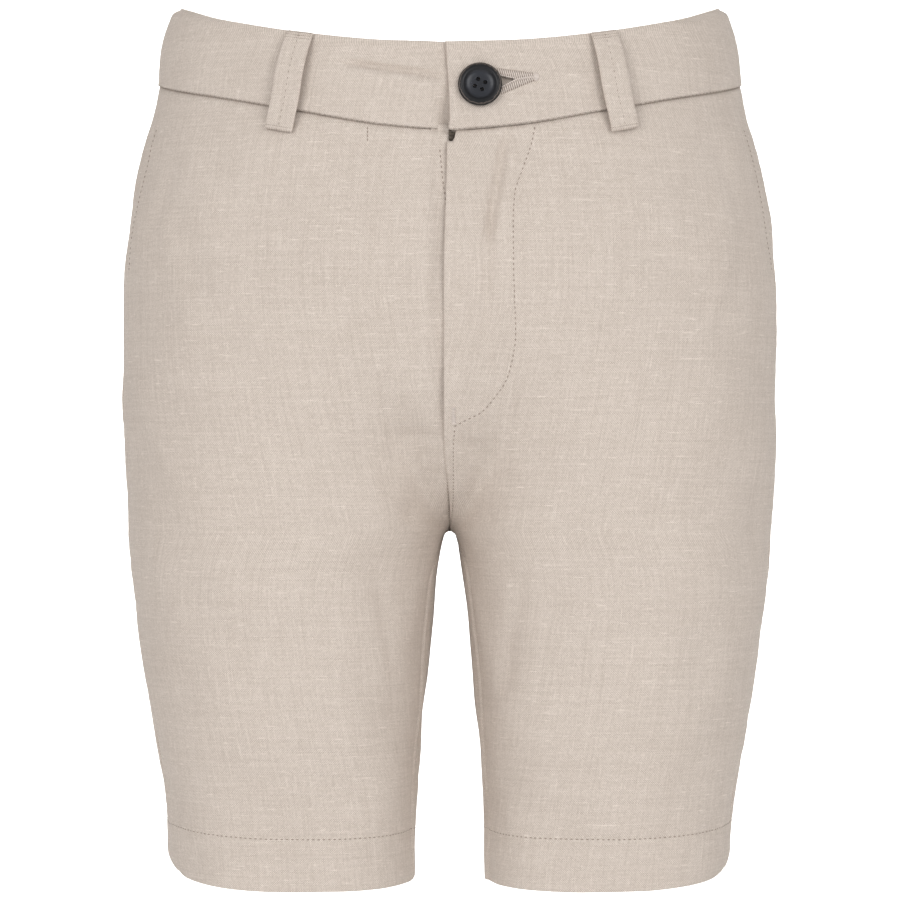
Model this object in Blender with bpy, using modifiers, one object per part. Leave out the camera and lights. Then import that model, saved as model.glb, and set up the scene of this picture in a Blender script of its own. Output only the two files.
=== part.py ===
"""Bermuda shorts for a child of about ten: plain linen, filled out as when worn, with no wearer.

Every cloth piece is a thin wall on one common skin. Above the hips the skin is a single rounded
ring; between the hips and the crotch it parts into two; below it each leg is a ring of its own.
The tables give one row for each section, in millimetres. +X is the wearer's left, -Y the front,
and the origin is the middle of the waist ring at the height of the waist seam at the sides.
"""

import math

import bmesh
import bpy
import numpy as np
from mathutils import Matrix, Vector

MM = 0.001

# One row for each horizontal section: height, outer and inner reach of one leg from the centre
# plane, reach to the front, reach to the back, and how square the ring is (2 is an ellipse).
SECTION_COLUMNS = ("height", "outer", "inner", "front", "back", "square")
SECTIONS = (
    (36, 116.6, 0.0, 80.0, 80.0, 2.25),
    (20, 120.6, 0.0, 82.5, 82.5, 2.25),
    (0, 124.4, 0.0, 86.0, 86.0, 2.25),
    (-12, 126.6, 0.0, 88.0, 89.0, 2.25),
    (-32, 132.0, 0.0, 91.0, 94.5, 2.28),
    (-66, 138.0, 0.0, 94.5, 103.0, 2.30),
    (-95, 139.8, 0.0, 95.0, 107.5, 2.32),
    (-135, 139.8, 0.0, 92.0, 104.0, 2.32),
    (-165, 139.0, 0.0, 87.0, 95.0, 2.32),
    (-190.5, 137.7, 0.0, 82.0, 86.0, 2.32),
    (-192.5, 137.6, 2.4, 81.7, 85.6, 2.32),
    (-196.5, 137.3, 3.5, 81.0, 84.8, 2.32),
    (-222, 134.8, 6.6, 77.0, 80.5, 2.34),
    (-256, 130.2, 10.1, 71.5, 76.0, 2.36),
    (-282, 125.8, 12.5, 67.0, 72.0, 2.38),
    (-308, 121.6, 14.4, 63.0, 68.0, 2.40),
    (-326, 120.5, 14.8, 61.0, 66.0, 2.42),
    (-344, 120.0, 14.9, 59.5, 64.5, 2.42),
)

# The waist, one row for each angle from the side (0) to the middle (90), in front and behind.
WAIST_COLUMNS = ("angle", "front_top", "front_seam", "back_top", "back_seam")
WAIST = (
    (0, 33.5, 0.0, 33.5, 0.0),
    (20, 29.0, -5.2, 33.2, -1.0),
    (45, 20.2, -12.0, 31.6, -3.6),
    (65, 13.8, -19.0, 29.0, -6.2),
    (80, 10.4, -24.8, 27.0, -7.8),
    (90, 9.6, -27.3, 26.4, -8.2),
)

# The free edge at each seam of one leg: outer side, middle of the front, inner side, middle behind.
HEM_COLUMNS = ("angle", "front", "back")
HEM = (
    (0, -335.5, -335.5),
    (90, -340.0, -337.5),
    (180, -338.5, -338.5),
)

# Where the seams of a leg lie on its ring, in degrees: 0 is the outer side, 180 the inner side.
SEAM_COLUMNS = ("height", "outseam", "inseam")
SEAMS = (
    (-190.5, 8, 180),
    (-214, 9, 168),
    (-280, 12, 170),
    (-340, 15, 173),
)

HIP_LINE = -118.0  # the crotch curve starts to turn in here
CROTCH = -190.5
PART_FROM = -70.0  # away from the middle line the ring parts slowly between these heights
PART_TO = -235.0
FORK_TO = -208.0
FORK_FROM = 0.40  # share of the way round from which the fork has a say
MIDDLE_FROM = 0.78  # and the middle line
ARCH_DROPS = (1.6, 4.6)  # two rings close below the crotch shape the arch between the legs
INSEAM_Y = -6.0  # the inner side of a leg lies a little in front of its middle
INNER_SPREAD = 2.5  # how closely the gap between the legs stays at their inner sides
SEAM_GAP = 0.3
WAIST_GAP = 0.45  # the panels start this far below the waist seam, clear of the thicker band
CLOTH = 1.0
BAND_CLOTH = 1.8

FLY_LAP = 2.4  # the left front passes the centre line by this much
FLY_END = -143.0  # the lap is over here, and the plain centre seam goes on down
FLY_FADE = 12.0  # and it narrows over this height above the end
LAP_LIFT = 0.65  # how far the upper edge of the fly stands out, and the lower one in
LAP_SINK = 1.3
LAP_REACH = (2.75, 11.0)  # it fades between these distances from the centre
LAP_FADE = 28.0
BAND_PROUD = 0.6  # the waistband stands out from the skin by this much
BAND_UNDERLAP = 30.0  # the right end of the waistband passes the centre under the left end
BAND_LIFT = 0.7
BAND_SINK = 1.5
BAND_FADE = (30.0, 46.0)  # the left end lies flat again between these distances from the centre
BAND_SINK_FADE = (3.0, 15.0)

BUTTON_X = 12.2
BUTTON_HEIGHT = -9.0
BUTTON_THICK = 2.9
BUTTON_STANDOFF = 0.5
SHANK_RADIUS = 1.2
# Face and rim of the button: radius, and depth below the highest ring of the rim.
BUTTON_FACE = ((0.0, 1.5), (3.6, 1.4), (5.4, 0.9), (6.6, 0.1), (7.6, 0.0), (8.6, 0.6), (9.0, 1.5))
BUTTON_BACK = ((8.3, 0.4), (7.0, 0.0))  # its underside: radius, and height above the flat back
HOLE_RADIUS = 0.8
HOLE_RING = 2.25
HOLE_TURN = 20.0  # the first hole, in degrees from the horizontal
BUTTONHOLE_LENGTH = 24.0
BUTTONHOLE_HEIGHT = 1.0
BUTTONHOLE_TILT = 11.0  # it follows the middle of the band, which climbs to the side
EYELET_RADIUS = 1.9
CUTTER_REACH = 12.0

LOOP_WIDTH = 11.0
LOOP_CLOTH = 1.6
LOOP_STANDOFF = 3.2
LOOP_BELOW_SEAM = 9.5
LOOP_BOW = 0.7  # 1 is a plain arch; less makes it flatter in the middle
LOOP_ACROSS = 4
LOOP_ROWS = 9

# One row for each belt loop: name, side (1 is the wearer's left), whether it sits behind, and
# where its top and foot are along X.
LOOPS = (
    ("belt_loop_front_left", 1, False, 63.4, 67.0),
    ("belt_loop_front_right", -1, False, 62.0, 65.7),
    ("belt_loop_back_left", 1, True, 66.0, 70.0),
    ("belt_loop_back_right", -1, True, 66.0, 70.0),
    ("belt_loop_back_centre", 1, True, 0.0, 0.0),
)

PANEL_ACROSS = 14
TORSO_ROWS = 8
CROTCH_ROWS = 6
LEG_ROWS = 9
TORSO_SPACED_AT = -80.0  # the columns are equally wide at this height, and down the leg here
LEG_SPACED_AT = -230.0
BAND_ACROSS = 26
BAND_ROWS = 4

POCKET_BELOW_SEAM = 1.5
POCKET_SIDE = -104.0  # foot of the pocket bag at the side, and how much deeper its belly hangs
POCKET_BELLY = 44.0
POCKET_FROM = 9.0  # the bag reaches this far round the front, in degrees from the side
POCKET_TO = 62.0
POCKET_CLOTH = 1.0
POCKET_INSET = 0.5
POCKET_ROUND = 0.62  # half the width of the ellipse that its foot is cut from, in bag widths
POCKET_ACROSS = 8
POCKET_ROWS = 8

ZIP_WIDTH = 24.0
ZIP_ROWS = 12
ZIP_TOP = -29.0
ZIP_FOOT = -118.0
ZIP_CLOTH = 1.0
ZIP_INSET = 3.2
ZIP_ACROSS = 4
SLIDER_SIZE = (7.5, 2.0, 9.0)
SLIDER_TOP = -30.0
SLIDER_EDGE = 0.8
SLIDER_ROOM = 2.9  # the tape lies this much deeper behind the slider
SLIDER_ROOM_FADE = (-49.0, -42.0)

LINEN = (0.68, 0.58, 0.49)
POCKETING = (0.72, 0.68, 0.62)
TAPE = (0.30, 0.25, 0.20)
HORN = (0.012, 0.012, 0.016)
BROWN_METAL = (0.09, 0.05, 0.03)


def column(table, names, name):
    return np.array([row[names.index(name)] for row in table], float)


def smooth_through(at, xs, ys):
    """Cubic Hermite curve through the table, with slopes that never overshoot."""
    order = np.argsort(xs)
    xs, ys = xs[order], ys[order]
    steps = np.diff(ys) / np.diff(xs)
    inner = np.where(steps[:-1] * steps[1:] > 0, 2 * steps[:-1] * steps[1:], 0.0)
    inner = inner / np.where(inner == 0, 1.0, steps[:-1] + steps[1:])
    slopes = np.concatenate([steps[:1], inner, steps[-1:]])
    at = np.clip(at, xs[0], xs[-1])
    i = np.clip(np.searchsorted(xs, at) - 1, 0, len(xs) - 2)
    width = xs[i + 1] - xs[i]
    u = (at - xs[i]) / width
    return (
        ys[i] * (1 + 2 * u) * (1 - u) ** 2
        + ys[i + 1] * u * u * (3 - 2 * u)
        + width * (slopes[i] * u * (1 - u) ** 2 - slopes[i + 1] * u * u * (1 - u))
    )


def section(name, height):
    return smooth_through(
        np.asarray(height, float),
        column(SECTIONS, SECTION_COLUMNS, "height"),
        column(SECTIONS, SECTION_COLUMNS, name),
    )


def waist(name, angle):
    """Height of the top or the seam of the waistband, at an angle of the torso ring in degrees."""
    inside = 90.0 - np.abs(np.abs(np.asarray(angle, float)) - 90.0)
    angles = column(WAIST, WAIST_COLUMNS, "angle")
    front, back = (
        smooth_through(inside, angles, column(WAIST, WAIST_COLUMNS, view + name))
        for view in ("front_", "back_")
    )
    return np.where(angle < 0, back, front)


def hem(angle):
    """Height of the free edge of a leg, at an angle of the thigh ring in degrees."""
    angles = column(HEM, HEM_COLUMNS, "angle")
    front, back = (
        smooth_through(np.abs(angle), angles, column(HEM, HEM_COLUMNS, view))
        for view in ("front", "back")
    )
    return np.where(angle < 0, back, front)


def seam_angle(name, height):
    return smooth_through(
        np.asarray(height, float),
        column(SEAMS, SEAM_COLUMNS, "height"),
        column(SEAMS, SEAM_COLUMNS, name),
    )


def smooth_step(value, start, end):
    u = np.clip((value - start) / (end - start), 0.0, 1.0)
    return u * u * (3 - 2 * u)


def power(value, exponent):
    return np.sign(value) * np.abs(value) ** exponent


def torso(angle, height):
    """Ring of the left side: -90 is the middle behind, 0 the side and 90 the middle in front.

    Past 90 either way it goes on across the centre plane.
    """
    turn = np.radians(angle)
    bend = 2.0 / section("square", height)
    depth = np.where(angle < 0, section("back", height), section("front", height))
    x = section("outer", height) * power(np.cos(turn), bend)
    y = -depth * power(np.sin(turn), bend)
    return np.stack(np.broadcast_arrays(x, y, height), axis=-1)


def thigh(angle, height):
    """Ring of the left leg: 0 is the outer side, 90 the front, -90 behind, 180 the inner side."""
    turn = np.radians(angle)
    bend = 2.0 / section("square", height)
    seam_y = INSEAM_Y * (1 - np.cos(np.clip(2 * np.abs(turn) - np.pi, 0, 2 * np.pi))) / 2
    depth = np.where(np.sin(turn) < 0, section("back", height), section("front", height))
    inwards = ((1 - np.cos(turn)) / 2) ** INNER_SPREAD
    x = section("outer", height) / 2 * (1 + power(np.cos(turn), bend))
    x = x + (section("inner", height) + SEAM_GAP / 2) * inwards
    y = seam_y - depth * power(np.sin(turn), bend)
    return np.stack(np.broadcast_arrays(x, y, height), axis=-1)


def even_angles(ring, start, end, height, count, gaps=(SEAM_GAP / 2, SEAM_GAP / 2)):
    """Angles that part a ring into equal lengths, short of each end by its gap."""
    fine = np.linspace(start, end, 1200)
    points = ring(fine, np.full_like(fine, height))
    length = np.concatenate([[0], np.cumsum(np.linalg.norm(np.diff(points, axis=0), axis=1))])
    return np.interp(np.linspace(gaps[0], length[-1] - gaps[1], count), length, fine)


def angle_at(x, height):
    """Angle of the front of the torso ring at this distance from the centre plane."""
    share = power(x / section("outer", height), section("square", height) / 2)
    return np.degrees(np.arccos(share))


def panel_points(behind, across):
    """Grid of the left front or back, from the waist seam to the hem, back to front."""
    outseam = float(seam_angle("outseam", CROTCH))
    upper_ends = (-90.0, outseam) if behind else (outseam, 90.0)
    lower_ends = (-180.0, outseam) if behind else (outseam, 180.0)
    around = even_angles(torso, *upper_ends, TORSO_SPACED_AT, across)
    along = even_angles(thigh, *lower_ends, LEG_SPACED_AT, across)
    seam_line = waist("seam", around) - WAIST_GAP
    heights = []
    for share in np.linspace(0, 1, TORSO_ROWS + 1)[:-1]:
        heights.append(seam_line + (HIP_LINE - seam_line) * share)
    for turn in np.radians(np.linspace(0, 90, CROTCH_ROWS + 1)):
        heights.append(np.full(across, CROTCH + (HIP_LINE - CROTCH) * (1 - np.sin(turn))))
    heights += [np.full(across, CROTCH - drop) for drop in ARCH_DROPS]
    arch_line = heights[-1]
    for share in np.linspace(0, 1, LEG_ROWS + 1)[1:]:
        heights.append(arch_line + (hem(along) - arch_line) * share)
    share = np.linspace(1, 0, across) if behind else np.linspace(0, 1, across)
    return np.array([parted_ring(around, along, height, share) for height in heights])


def turned_to_seams(along, height):
    """Angles of the thigh ring, stretched so that they end on the seams at this height."""
    outseam, inseam = seam_angle("outseam", height), seam_angle("inseam", height)
    start = float(seam_angle("outseam", CROTCH))
    if along[0] < 0:
        return outseam - (start - along) * (outseam + 360.0 - inseam) / (start + 180.0)
    return outseam + (along - start) * (inseam - outseam) / (180.0 - start)


def parted_ring(around, along, height, share):
    """Ring on its way from torso to leg; share is 0 at the outseam and 1 at the middle.

    The middle line follows a quarter of an ellipse from the hip line to the crotch point, so it
    parts late and fast. The fork beside it parts more gently, and the rest of the ring changes
    slowly, from the hips to the upper thigh.
    """
    drop = np.clip((HIP_LINE - height) / (HIP_LINE - CROTCH), 0.0, 1.0)
    middle = 1 - np.sqrt(1 - drop**2)
    fork = smooth_step(-height, -HIP_LINE, -FORK_TO)
    rest = smooth_step(-height, -PART_FROM, -PART_TO)
    inner = fork + (middle - fork) * smooth_step(share, MIDDLE_FROM, 1.0)
    part = (rest + (inner - rest) * smooth_step(share, FORK_FROM, 1.0))[:, None]
    lower = thigh(turned_to_seams(along, height), height)
    return (1 - part) * torso(around, height) + part * lower


def cloth_material(name, colour, roughness, metallic=0.0):
    found = bpy.data.materials.get(name) or bpy.data.materials.new(name)
    found.use_nodes = True
    shader = found.node_tree.nodes["Principled BSDF"]
    shader.inputs["Base Color"].default_value = (*colour, 1.0)
    shader.inputs["Roughness"].default_value = roughness
    shader.inputs["Metallic"].default_value = metallic
    return found


def add_object(name, mesh, collection, material):
    made = bpy.data.objects.new(name, mesh)
    mesh.materials.append(material)
    collection.objects.link(made)
    return made


def grid_mesh(name, grid, side):
    """Quads between neighbouring points of a grid, as one open sheet that faces outwards.

    Rows run down and columns run from the back to the front of the wearer's left side; side -1
    mirrors the grid to the right.
    """
    rows, across = grid.shape[:2]
    index = np.arange(rows * across).reshape(rows, across)
    quads = np.stack([index[:-1, :-1], index[:-1, 1:], index[1:, 1:], index[1:, :-1]], axis=-1)
    quads = quads.reshape(-1, 4)
    if side < 0:
        quads = quads[:, ::-1]
    points = grid.reshape(-1, 3) * MM * (side, 1, 1)
    mesh = bpy.data.meshes.new(name)
    mesh.from_pydata(points.tolist(), [], quads.tolist())
    mesh.shade_smooth()
    return mesh


def add_sheet(name, grid, side, thickness, collection, material):
    """Open sheet whose wall grows inwards from its outer face."""
    made = add_object(name, grid_mesh(name, grid, side), collection, material)
    wall = made.modifiers.new("wall", "SOLIDIFY")
    wall.thickness = thickness * MM
    wall.offset = -1.0
    return made


def moved(grid, distance):
    """Points of a grid moved outwards by a distance, along the normal of the grid there."""
    down = np.gradient(grid, axis=0)
    along = np.gradient(grid, axis=1)
    normal = np.cross(along, down)
    normal /= np.linalg.norm(normal, axis=-1, keepdims=True)
    return grid + normal * np.asarray(distance)[..., None]


def lap(grid, out):
    """Moves the edge of a fly front towards -Y by this much, fading across and below the fly."""
    near = 1 - smooth_step(np.abs(grid[..., 0]), *LAP_REACH)
    tall = smooth_step(grid[..., 2], FLY_END - LAP_FADE, FLY_END)
    moved_out = grid.copy()
    moved_out[..., 1] -= out * near * tall
    return moved_out


def add_panels(collection, material):
    for side, word in ((1, "left"), (-1, "right")):
        front = panel_points(False, PANEL_ACROSS)
        if side == 1:
            # The left front carries the fly: its edge passes the centre line and lies on top.
            passing = smooth_step(front[..., -1, 2], FLY_END, FLY_END + FLY_FADE)
            front[:, -1, 0] -= (FLY_LAP + SEAM_GAP / 2) * passing
        front = lap(front, LAP_LIFT if side == 1 else -LAP_SINK)
        add_sheet(f"front_{word}", front, side, CLOTH, collection, material)
        back = panel_points(True, PANEL_ACROSS)
        add_sheet(f"back_{word}", back, side, CLOTH, collection, material)


def band_points(past):
    """Grid of half the waistband, from the middle behind to this far past the middle in front."""
    end = float(angle_at(-past, 0.0))
    angles = even_angles(torso, -90.0, end, 0.0, BAND_ACROSS, (SEAM_GAP / 2, 0.0))
    seam = waist("seam", angles) + SEAM_GAP / 2
    top = waist("top", angles)
    rows = [torso(angles, top + (seam - top) * s) for s in np.linspace(0, 1, BAND_ROWS + 1)]
    return moved(np.array(rows), BAND_PROUD)


def add_waistband(collection, material):
    """Two halves, joined behind. The left end lies over the right end in front."""
    for side, word, past in ((1, "left", FLY_LAP), (-1, "right", BAND_UNDERLAP)):
        band = band_points(past)
        in_front = band[..., 1] < 0
        if side == 1:
            lift = BAND_LIFT * (1 - smooth_step(band[..., 0], *BAND_FADE))
        else:
            lift = -BAND_SINK * (1 - smooth_step(band[..., 0], *BAND_SINK_FADE))
        band[..., 1] -= lift * in_front
        made = add_sheet(f"waistband_{word}", band, side, BAND_CLOTH, collection, material)
        if side == 1:
            cut_buttonhole(made)


def add_cutter(name, mesh_maker, matrix):
    made_mesh = bmesh.new()
    mesh_maker(made_mesh)
    bmesh.ops.transform(made_mesh, matrix=matrix, verts=made_mesh.verts)
    mesh = bpy.data.meshes.new(name)
    made_mesh.to_mesh(mesh)
    made_mesh.free()
    made = bpy.data.objects.new(name, mesh)
    cutters = bpy.data.collections.get("cutters") or bpy.data.collections.new("cutters")
    if cutters.name not in bpy.context.scene.collection.children:
        bpy.context.scene.collection.children.link(cutters)
    cutters.objects.link(made)
    made.hide_render = True
    made.display_type = "WIRE"
    return made


def cut(target, cutter):
    hole = target.modifiers.new(cutter.name, "BOOLEAN")
    hole.operation = "DIFFERENCE"
    hole.object = cutter


def button_frame():
    """Turns local Z into the outward normal of the waistband at the button, and places it there."""
    rise = section("front", BUTTON_HEIGHT - 5.0) - section("front", BUTTON_HEIGHT + 5.0)
    outward = Vector((0.0, -10.0, float(rise))).normalized()
    turn = Vector((0.0, 0.0, 1.0)).rotation_difference(outward).to_matrix().to_4x4()
    across = BUTTON_X / section("outer", BUTTON_HEIGHT)
    bend = section("square", BUTTON_HEIGHT)
    depth = section("front", BUTTON_HEIGHT) * (1 - across**bend) ** (1 / bend)
    place = Vector((BUTTON_X, -float(depth), BUTTON_HEIGHT)) * MM
    return Matrix.Translation(place) @ turn


def cut_buttonhole(band):
    """Keyhole slot: a round end at the shank of the button, and a slit away from the fly edge."""
    tilt = Matrix.Rotation(math.radians(-BUTTONHOLE_TILT), 4, "Y")
    place = Matrix.Translation(button_frame().to_translation())

    def slit(mesh):
        size = Vector((BUTTONHOLE_LENGTH, 2 * CUTTER_REACH, BUTTONHOLE_HEIGHT)) * MM
        middle = Matrix.Translation((BUTTONHOLE_LENGTH / 2 * MM, 0.0, 0.0))
        bmesh.ops.create_cube(mesh, matrix=middle @ Matrix.Diagonal((*size, 1.0)))

    def eyelet(mesh):
        bmesh.ops.create_cone(
            mesh, cap_ends=True, segments=16, radius1=EYELET_RADIUS * MM,
            radius2=EYELET_RADIUS * MM, depth=2 * CUTTER_REACH * MM,
            matrix=Matrix.Rotation(math.radians(90.0), 4, "X"),
        )

    cut(band, add_cutter("buttonhole_slit", slit, place @ tilt))
    cut(band, add_cutter("buttonhole_eyelet", eyelet, place))


def add_button(collection, material):
    """Four-hole button: a turned disc with a raised rim, and its thread shank, as one piece."""
    back = BAND_PROUD + BAND_LIFT + BUTTON_STANDOFF
    front = back + BUTTON_THICK
    foot = BAND_PROUD - BAND_SINK + SEAM_GAP
    profile = [(radius, front - below) for radius, below in BUTTON_FACE]
    profile += [(radius, back + above) for radius, above in BUTTON_BACK]
    profile += [(SHANK_RADIUS, back), (SHANK_RADIUS, foot), (0.0, foot)]
    mesh = bpy.data.meshes.new("button")
    points = [(radius * MM, 0.0, height * MM) for radius, height in profile]
    mesh.from_pydata(points, [(i, i + 1) for i in range(len(points) - 1)], [])
    button = add_object("button", mesh, collection, material)
    turned = button.modifiers.new("turned", "SCREW")
    turned.steps = turned.render_steps = 28
    turned.use_merge_vertices = True
    turned.merge_threshold = 0.00001
    button.matrix_world = button_frame()
    for number in range(4):
        angle = math.radians(HOLE_TURN + 90.0 * number)
        place = Matrix.Translation(
            (HOLE_RING * math.cos(angle) * MM, HOLE_RING * math.sin(angle) * MM, front * MM)
        )

        def hole(mesh, place=place):
            bmesh.ops.create_cone(
                mesh, cap_ends=True, segments=10, radius1=HOLE_RADIUS * MM,
                radius2=HOLE_RADIUS * MM, depth=CUTTER_REACH * MM, matrix=place,
            )

        cut(button, add_cutter(f"button_hole_{number}", hole, button_frame()))
    button.data.shade_smooth()


def add_loops(collection, material):
    """Belt loops: strips that stand out from the waistband and are sewn at the top and the foot."""
    rows = np.linspace(0, 1, LOOP_ROWS + 1)[:, None]
    bow = LOOP_STANDOFF * np.sin(np.pi * rows) ** LOOP_BOW
    out = BAND_PROUD + SEAM_GAP + LOOP_CLOTH + bow
    across = np.linspace(LOOP_WIDTH / 2, -LOOP_WIDTH / 2, LOOP_ACROSS)
    for name, side, behind, top_x, foot_x in LOOPS:
        x = top_x + (foot_x - top_x) * rows + across * (-1 if behind else 1)
        angle = angle_at(x, 0.0) * (-1 if behind else 1)
        top = waist("top", angle) - SEAM_GAP
        foot = waist("seam", angle) - LOOP_BELOW_SEAM
        strip = moved(torso(angle, top + (foot - top) * rows), out + 0 * x)
        add_sheet(name, strip, side, LOOP_CLOTH, collection, material)


def add_pocket_bags(collection, material):
    """Bags that hang inside the fronts, behind the openings in the side seams."""
    angles = even_angles(torso, POCKET_FROM, POCKET_TO, TORSO_SPACED_AT, POCKET_ACROSS)
    top = waist("seam", angles) - POCKET_BELOW_SEAM
    width = np.linspace(0, 1, len(angles))
    low = POCKET_SIDE - POCKET_BELLY * np.sqrt(1 - ((width - 0.5) / POCKET_ROUND) ** 2)
    for side, word in ((1, "left"), (-1, "right")):
        rows = [torso(angles, top + (low - top) * s) for s in np.linspace(0, 1, POCKET_ROWS)]
        bag = moved(np.array(rows), -(CLOTH + POCKET_INSET))
        add_sheet(f"pocket_bag_{word}", bag, side, POCKET_CLOTH, collection, material)


def add_zip(collection, tape_material, slider_material):
    """Zip tape behind the fly, deeper at its top to make room for the slider."""
    angles = angle_at(np.linspace(ZIP_WIDTH / 2, -ZIP_WIDTH / 2, ZIP_ACROSS), TORSO_SPACED_AT)
    heights = np.linspace(ZIP_TOP, ZIP_FOOT, ZIP_ROWS)
    tape = np.array([torso(angles, np.full(ZIP_ACROSS, height)) for height in heights])
    deeper = SLIDER_ROOM * smooth_step(heights, *SLIDER_ROOM_FADE)
    tape[..., 1] += ZIP_INSET + deeper[:, None]
    add_sheet("zip_tape", tape, 1, ZIP_CLOTH, collection, tape_material)

    bpy.ops.mesh.primitive_cube_add(size=1.0)
    slider = bpy.context.object
    slider.name = slider.data.name = "zip_slider"
    for old in slider.users_collection:
        old.objects.unlink(slider)
    collection.objects.link(slider)
    slider.data.materials.append(slider_material)
    slider.data.transform(Matrix.Diagonal((*(Vector(SLIDER_SIZE) * MM), 1.0)))
    middle = SLIDER_TOP - SLIDER_SIZE[2] / 2
    depth = float(section("front", middle)) - ZIP_INSET - SLIDER_SIZE[1] / 2
    slider.location = Vector((0.0, -depth, middle)) * MM
    edges = slider.modifiers.new("rounded", "BEVEL")
    edges.width = SLIDER_EDGE * MM
    edges.segments = 3


def main():
    for old in list(bpy.data.objects):
        bpy.data.objects.remove(old, do_unlink=True)
    shorts = bpy.data.collections.new("bermuda_shorts")
    bpy.context.scene.collection.children.link(shorts)
    linen = cloth_material("linen", LINEN, 0.9)
    add_panels(shorts, linen)
    add_waistband(shorts, cloth_material("linen_waistband", LINEN, 0.9))
    add_loops(shorts, cloth_material("linen_loops", LINEN, 0.9))
    add_pocket_bags(shorts, cloth_material("pocketing", POCKETING, 0.9))
    add_button(shorts, cloth_material("horn", HORN, 0.35))
    tape = cloth_material("zip_tape", TAPE, 0.85)
    add_zip(shorts, tape, cloth_material("brown_metal", BROWN_METAL, 0.4, 0.8))


main()
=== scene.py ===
# %% [markdown]
# # Linen bermuda shorts, filled out as when worn
# These are a child's plain linen shorts: a waistband with five belt loops and a dark button, a
# zip fly, pockets in the side seams, and two legs with turned-up hems. They stand open and
# round, as on a wearer, but nobody is inside, so every piece is a thin sheet of cloth on one
# common skin. The parts for weight and collision are packed already, and this file dresses
# them: it lays finer cloth on the same skin, turns its edges under, adds the soft creases,
# sews it with real stitches and gives it a woven finish.

import math

import bmesh
import bpy
import numpy as np
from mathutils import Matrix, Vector


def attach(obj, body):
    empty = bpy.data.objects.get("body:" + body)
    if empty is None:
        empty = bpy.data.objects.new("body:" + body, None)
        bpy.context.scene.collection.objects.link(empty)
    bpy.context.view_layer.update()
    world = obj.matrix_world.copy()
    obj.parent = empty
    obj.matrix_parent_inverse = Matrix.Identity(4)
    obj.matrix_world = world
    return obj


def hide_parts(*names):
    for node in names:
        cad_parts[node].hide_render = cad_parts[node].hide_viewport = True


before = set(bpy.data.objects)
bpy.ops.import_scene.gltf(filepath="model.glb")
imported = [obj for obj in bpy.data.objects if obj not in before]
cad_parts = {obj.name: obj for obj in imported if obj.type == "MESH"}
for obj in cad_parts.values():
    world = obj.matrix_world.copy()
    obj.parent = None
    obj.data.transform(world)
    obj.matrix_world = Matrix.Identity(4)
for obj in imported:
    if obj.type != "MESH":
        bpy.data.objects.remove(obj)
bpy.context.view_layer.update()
print("parts:", ", ".join(sorted(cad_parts)))

# %% [markdown]
# ## Camera
# The shorts are seen straight from the front, at the height of the middle of the garment, from
# far enough away that both legs look alike. A long lens does that: it flattens the depth, so
# the waist and the hems stay level. The camera looks along +Y, which a quarter turn about X gives.

# %% Camera
CAMERA_DISTANCE = 1.6
CAMERA_HEIGHT = -0.157
LENS = 148.8

camera = bpy.data.objects.new("camera", bpy.data.cameras.new("camera"))
camera.data.lens = LENS
camera.location = (0.0, -CAMERA_DISTANCE, CAMERA_HEIGHT)
camera.rotation_euler = (math.radians(90.0), 0.0, 0.0)
bpy.context.scene.collection.objects.link(camera)
bpy.context.scene.camera = camera
print("camera", tuple(round(c, 3) for c in camera.location), "lens", LENS)

# %% [markdown]
# ## The skin that all the cloth lies on
# A pair of shorts is one tube at the hips that parts into two. It could be sculpted by hand,
# but a few measured sections, one row for each height, describe it better: how far the cloth
# reaches to the side, front and back, and how square the ring is. A smooth curve through the
# rows gives every height between them. All sizes here are in millimetres and become metres
# only when a mesh is made. +X is the wearer's left, -Y the front.

# %% Sections of the body and the legs
MM = 0.001
SECTION_COLUMNS = ("height", "outer", "inner", "front", "back", "square")
SECTIONS = (
    (36, 116.6, 0.0, 80.0, 80.0, 2.25),
    (20, 120.6, 0.0, 82.5, 82.5, 2.25),
    (0, 124.4, 0.0, 86.0, 86.0, 2.25),
    (-12, 126.6, 0.0, 88.0, 89.0, 2.25),
    (-32, 132.0, 0.0, 91.0, 94.5, 2.28),
    (-66, 138.0, 0.0, 94.5, 103.0, 2.30),
    (-95, 139.8, 0.0, 95.0, 107.5, 2.32),
    (-135, 139.8, 0.0, 92.0, 104.0, 2.32),
    (-165, 139.0, 0.0, 87.0, 95.0, 2.32),
    (-190.5, 137.7, 0.0, 82.0, 86.0, 2.32),
    (-192.5, 137.6, 2.4, 81.7, 85.6, 2.32),
    (-196.5, 137.3, 3.5, 81.0, 84.8, 2.32),
    (-222, 134.8, 6.6, 77.0, 80.5, 2.34),
    (-256, 130.2, 10.1, 71.5, 76.0, 2.36),
    (-282, 125.8, 12.5, 67.0, 72.0, 2.38),
    (-308, 121.6, 14.4, 63.0, 68.0, 2.40),
    (-326, 120.5, 14.8, 61.0, 66.0, 2.42),
    (-344, 120.0, 14.9, 59.5, 64.5, 2.42),
)
print(len(SECTIONS), "sections from", SECTIONS[0][0], "to", SECTIONS[-1][0], "mm")

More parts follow.
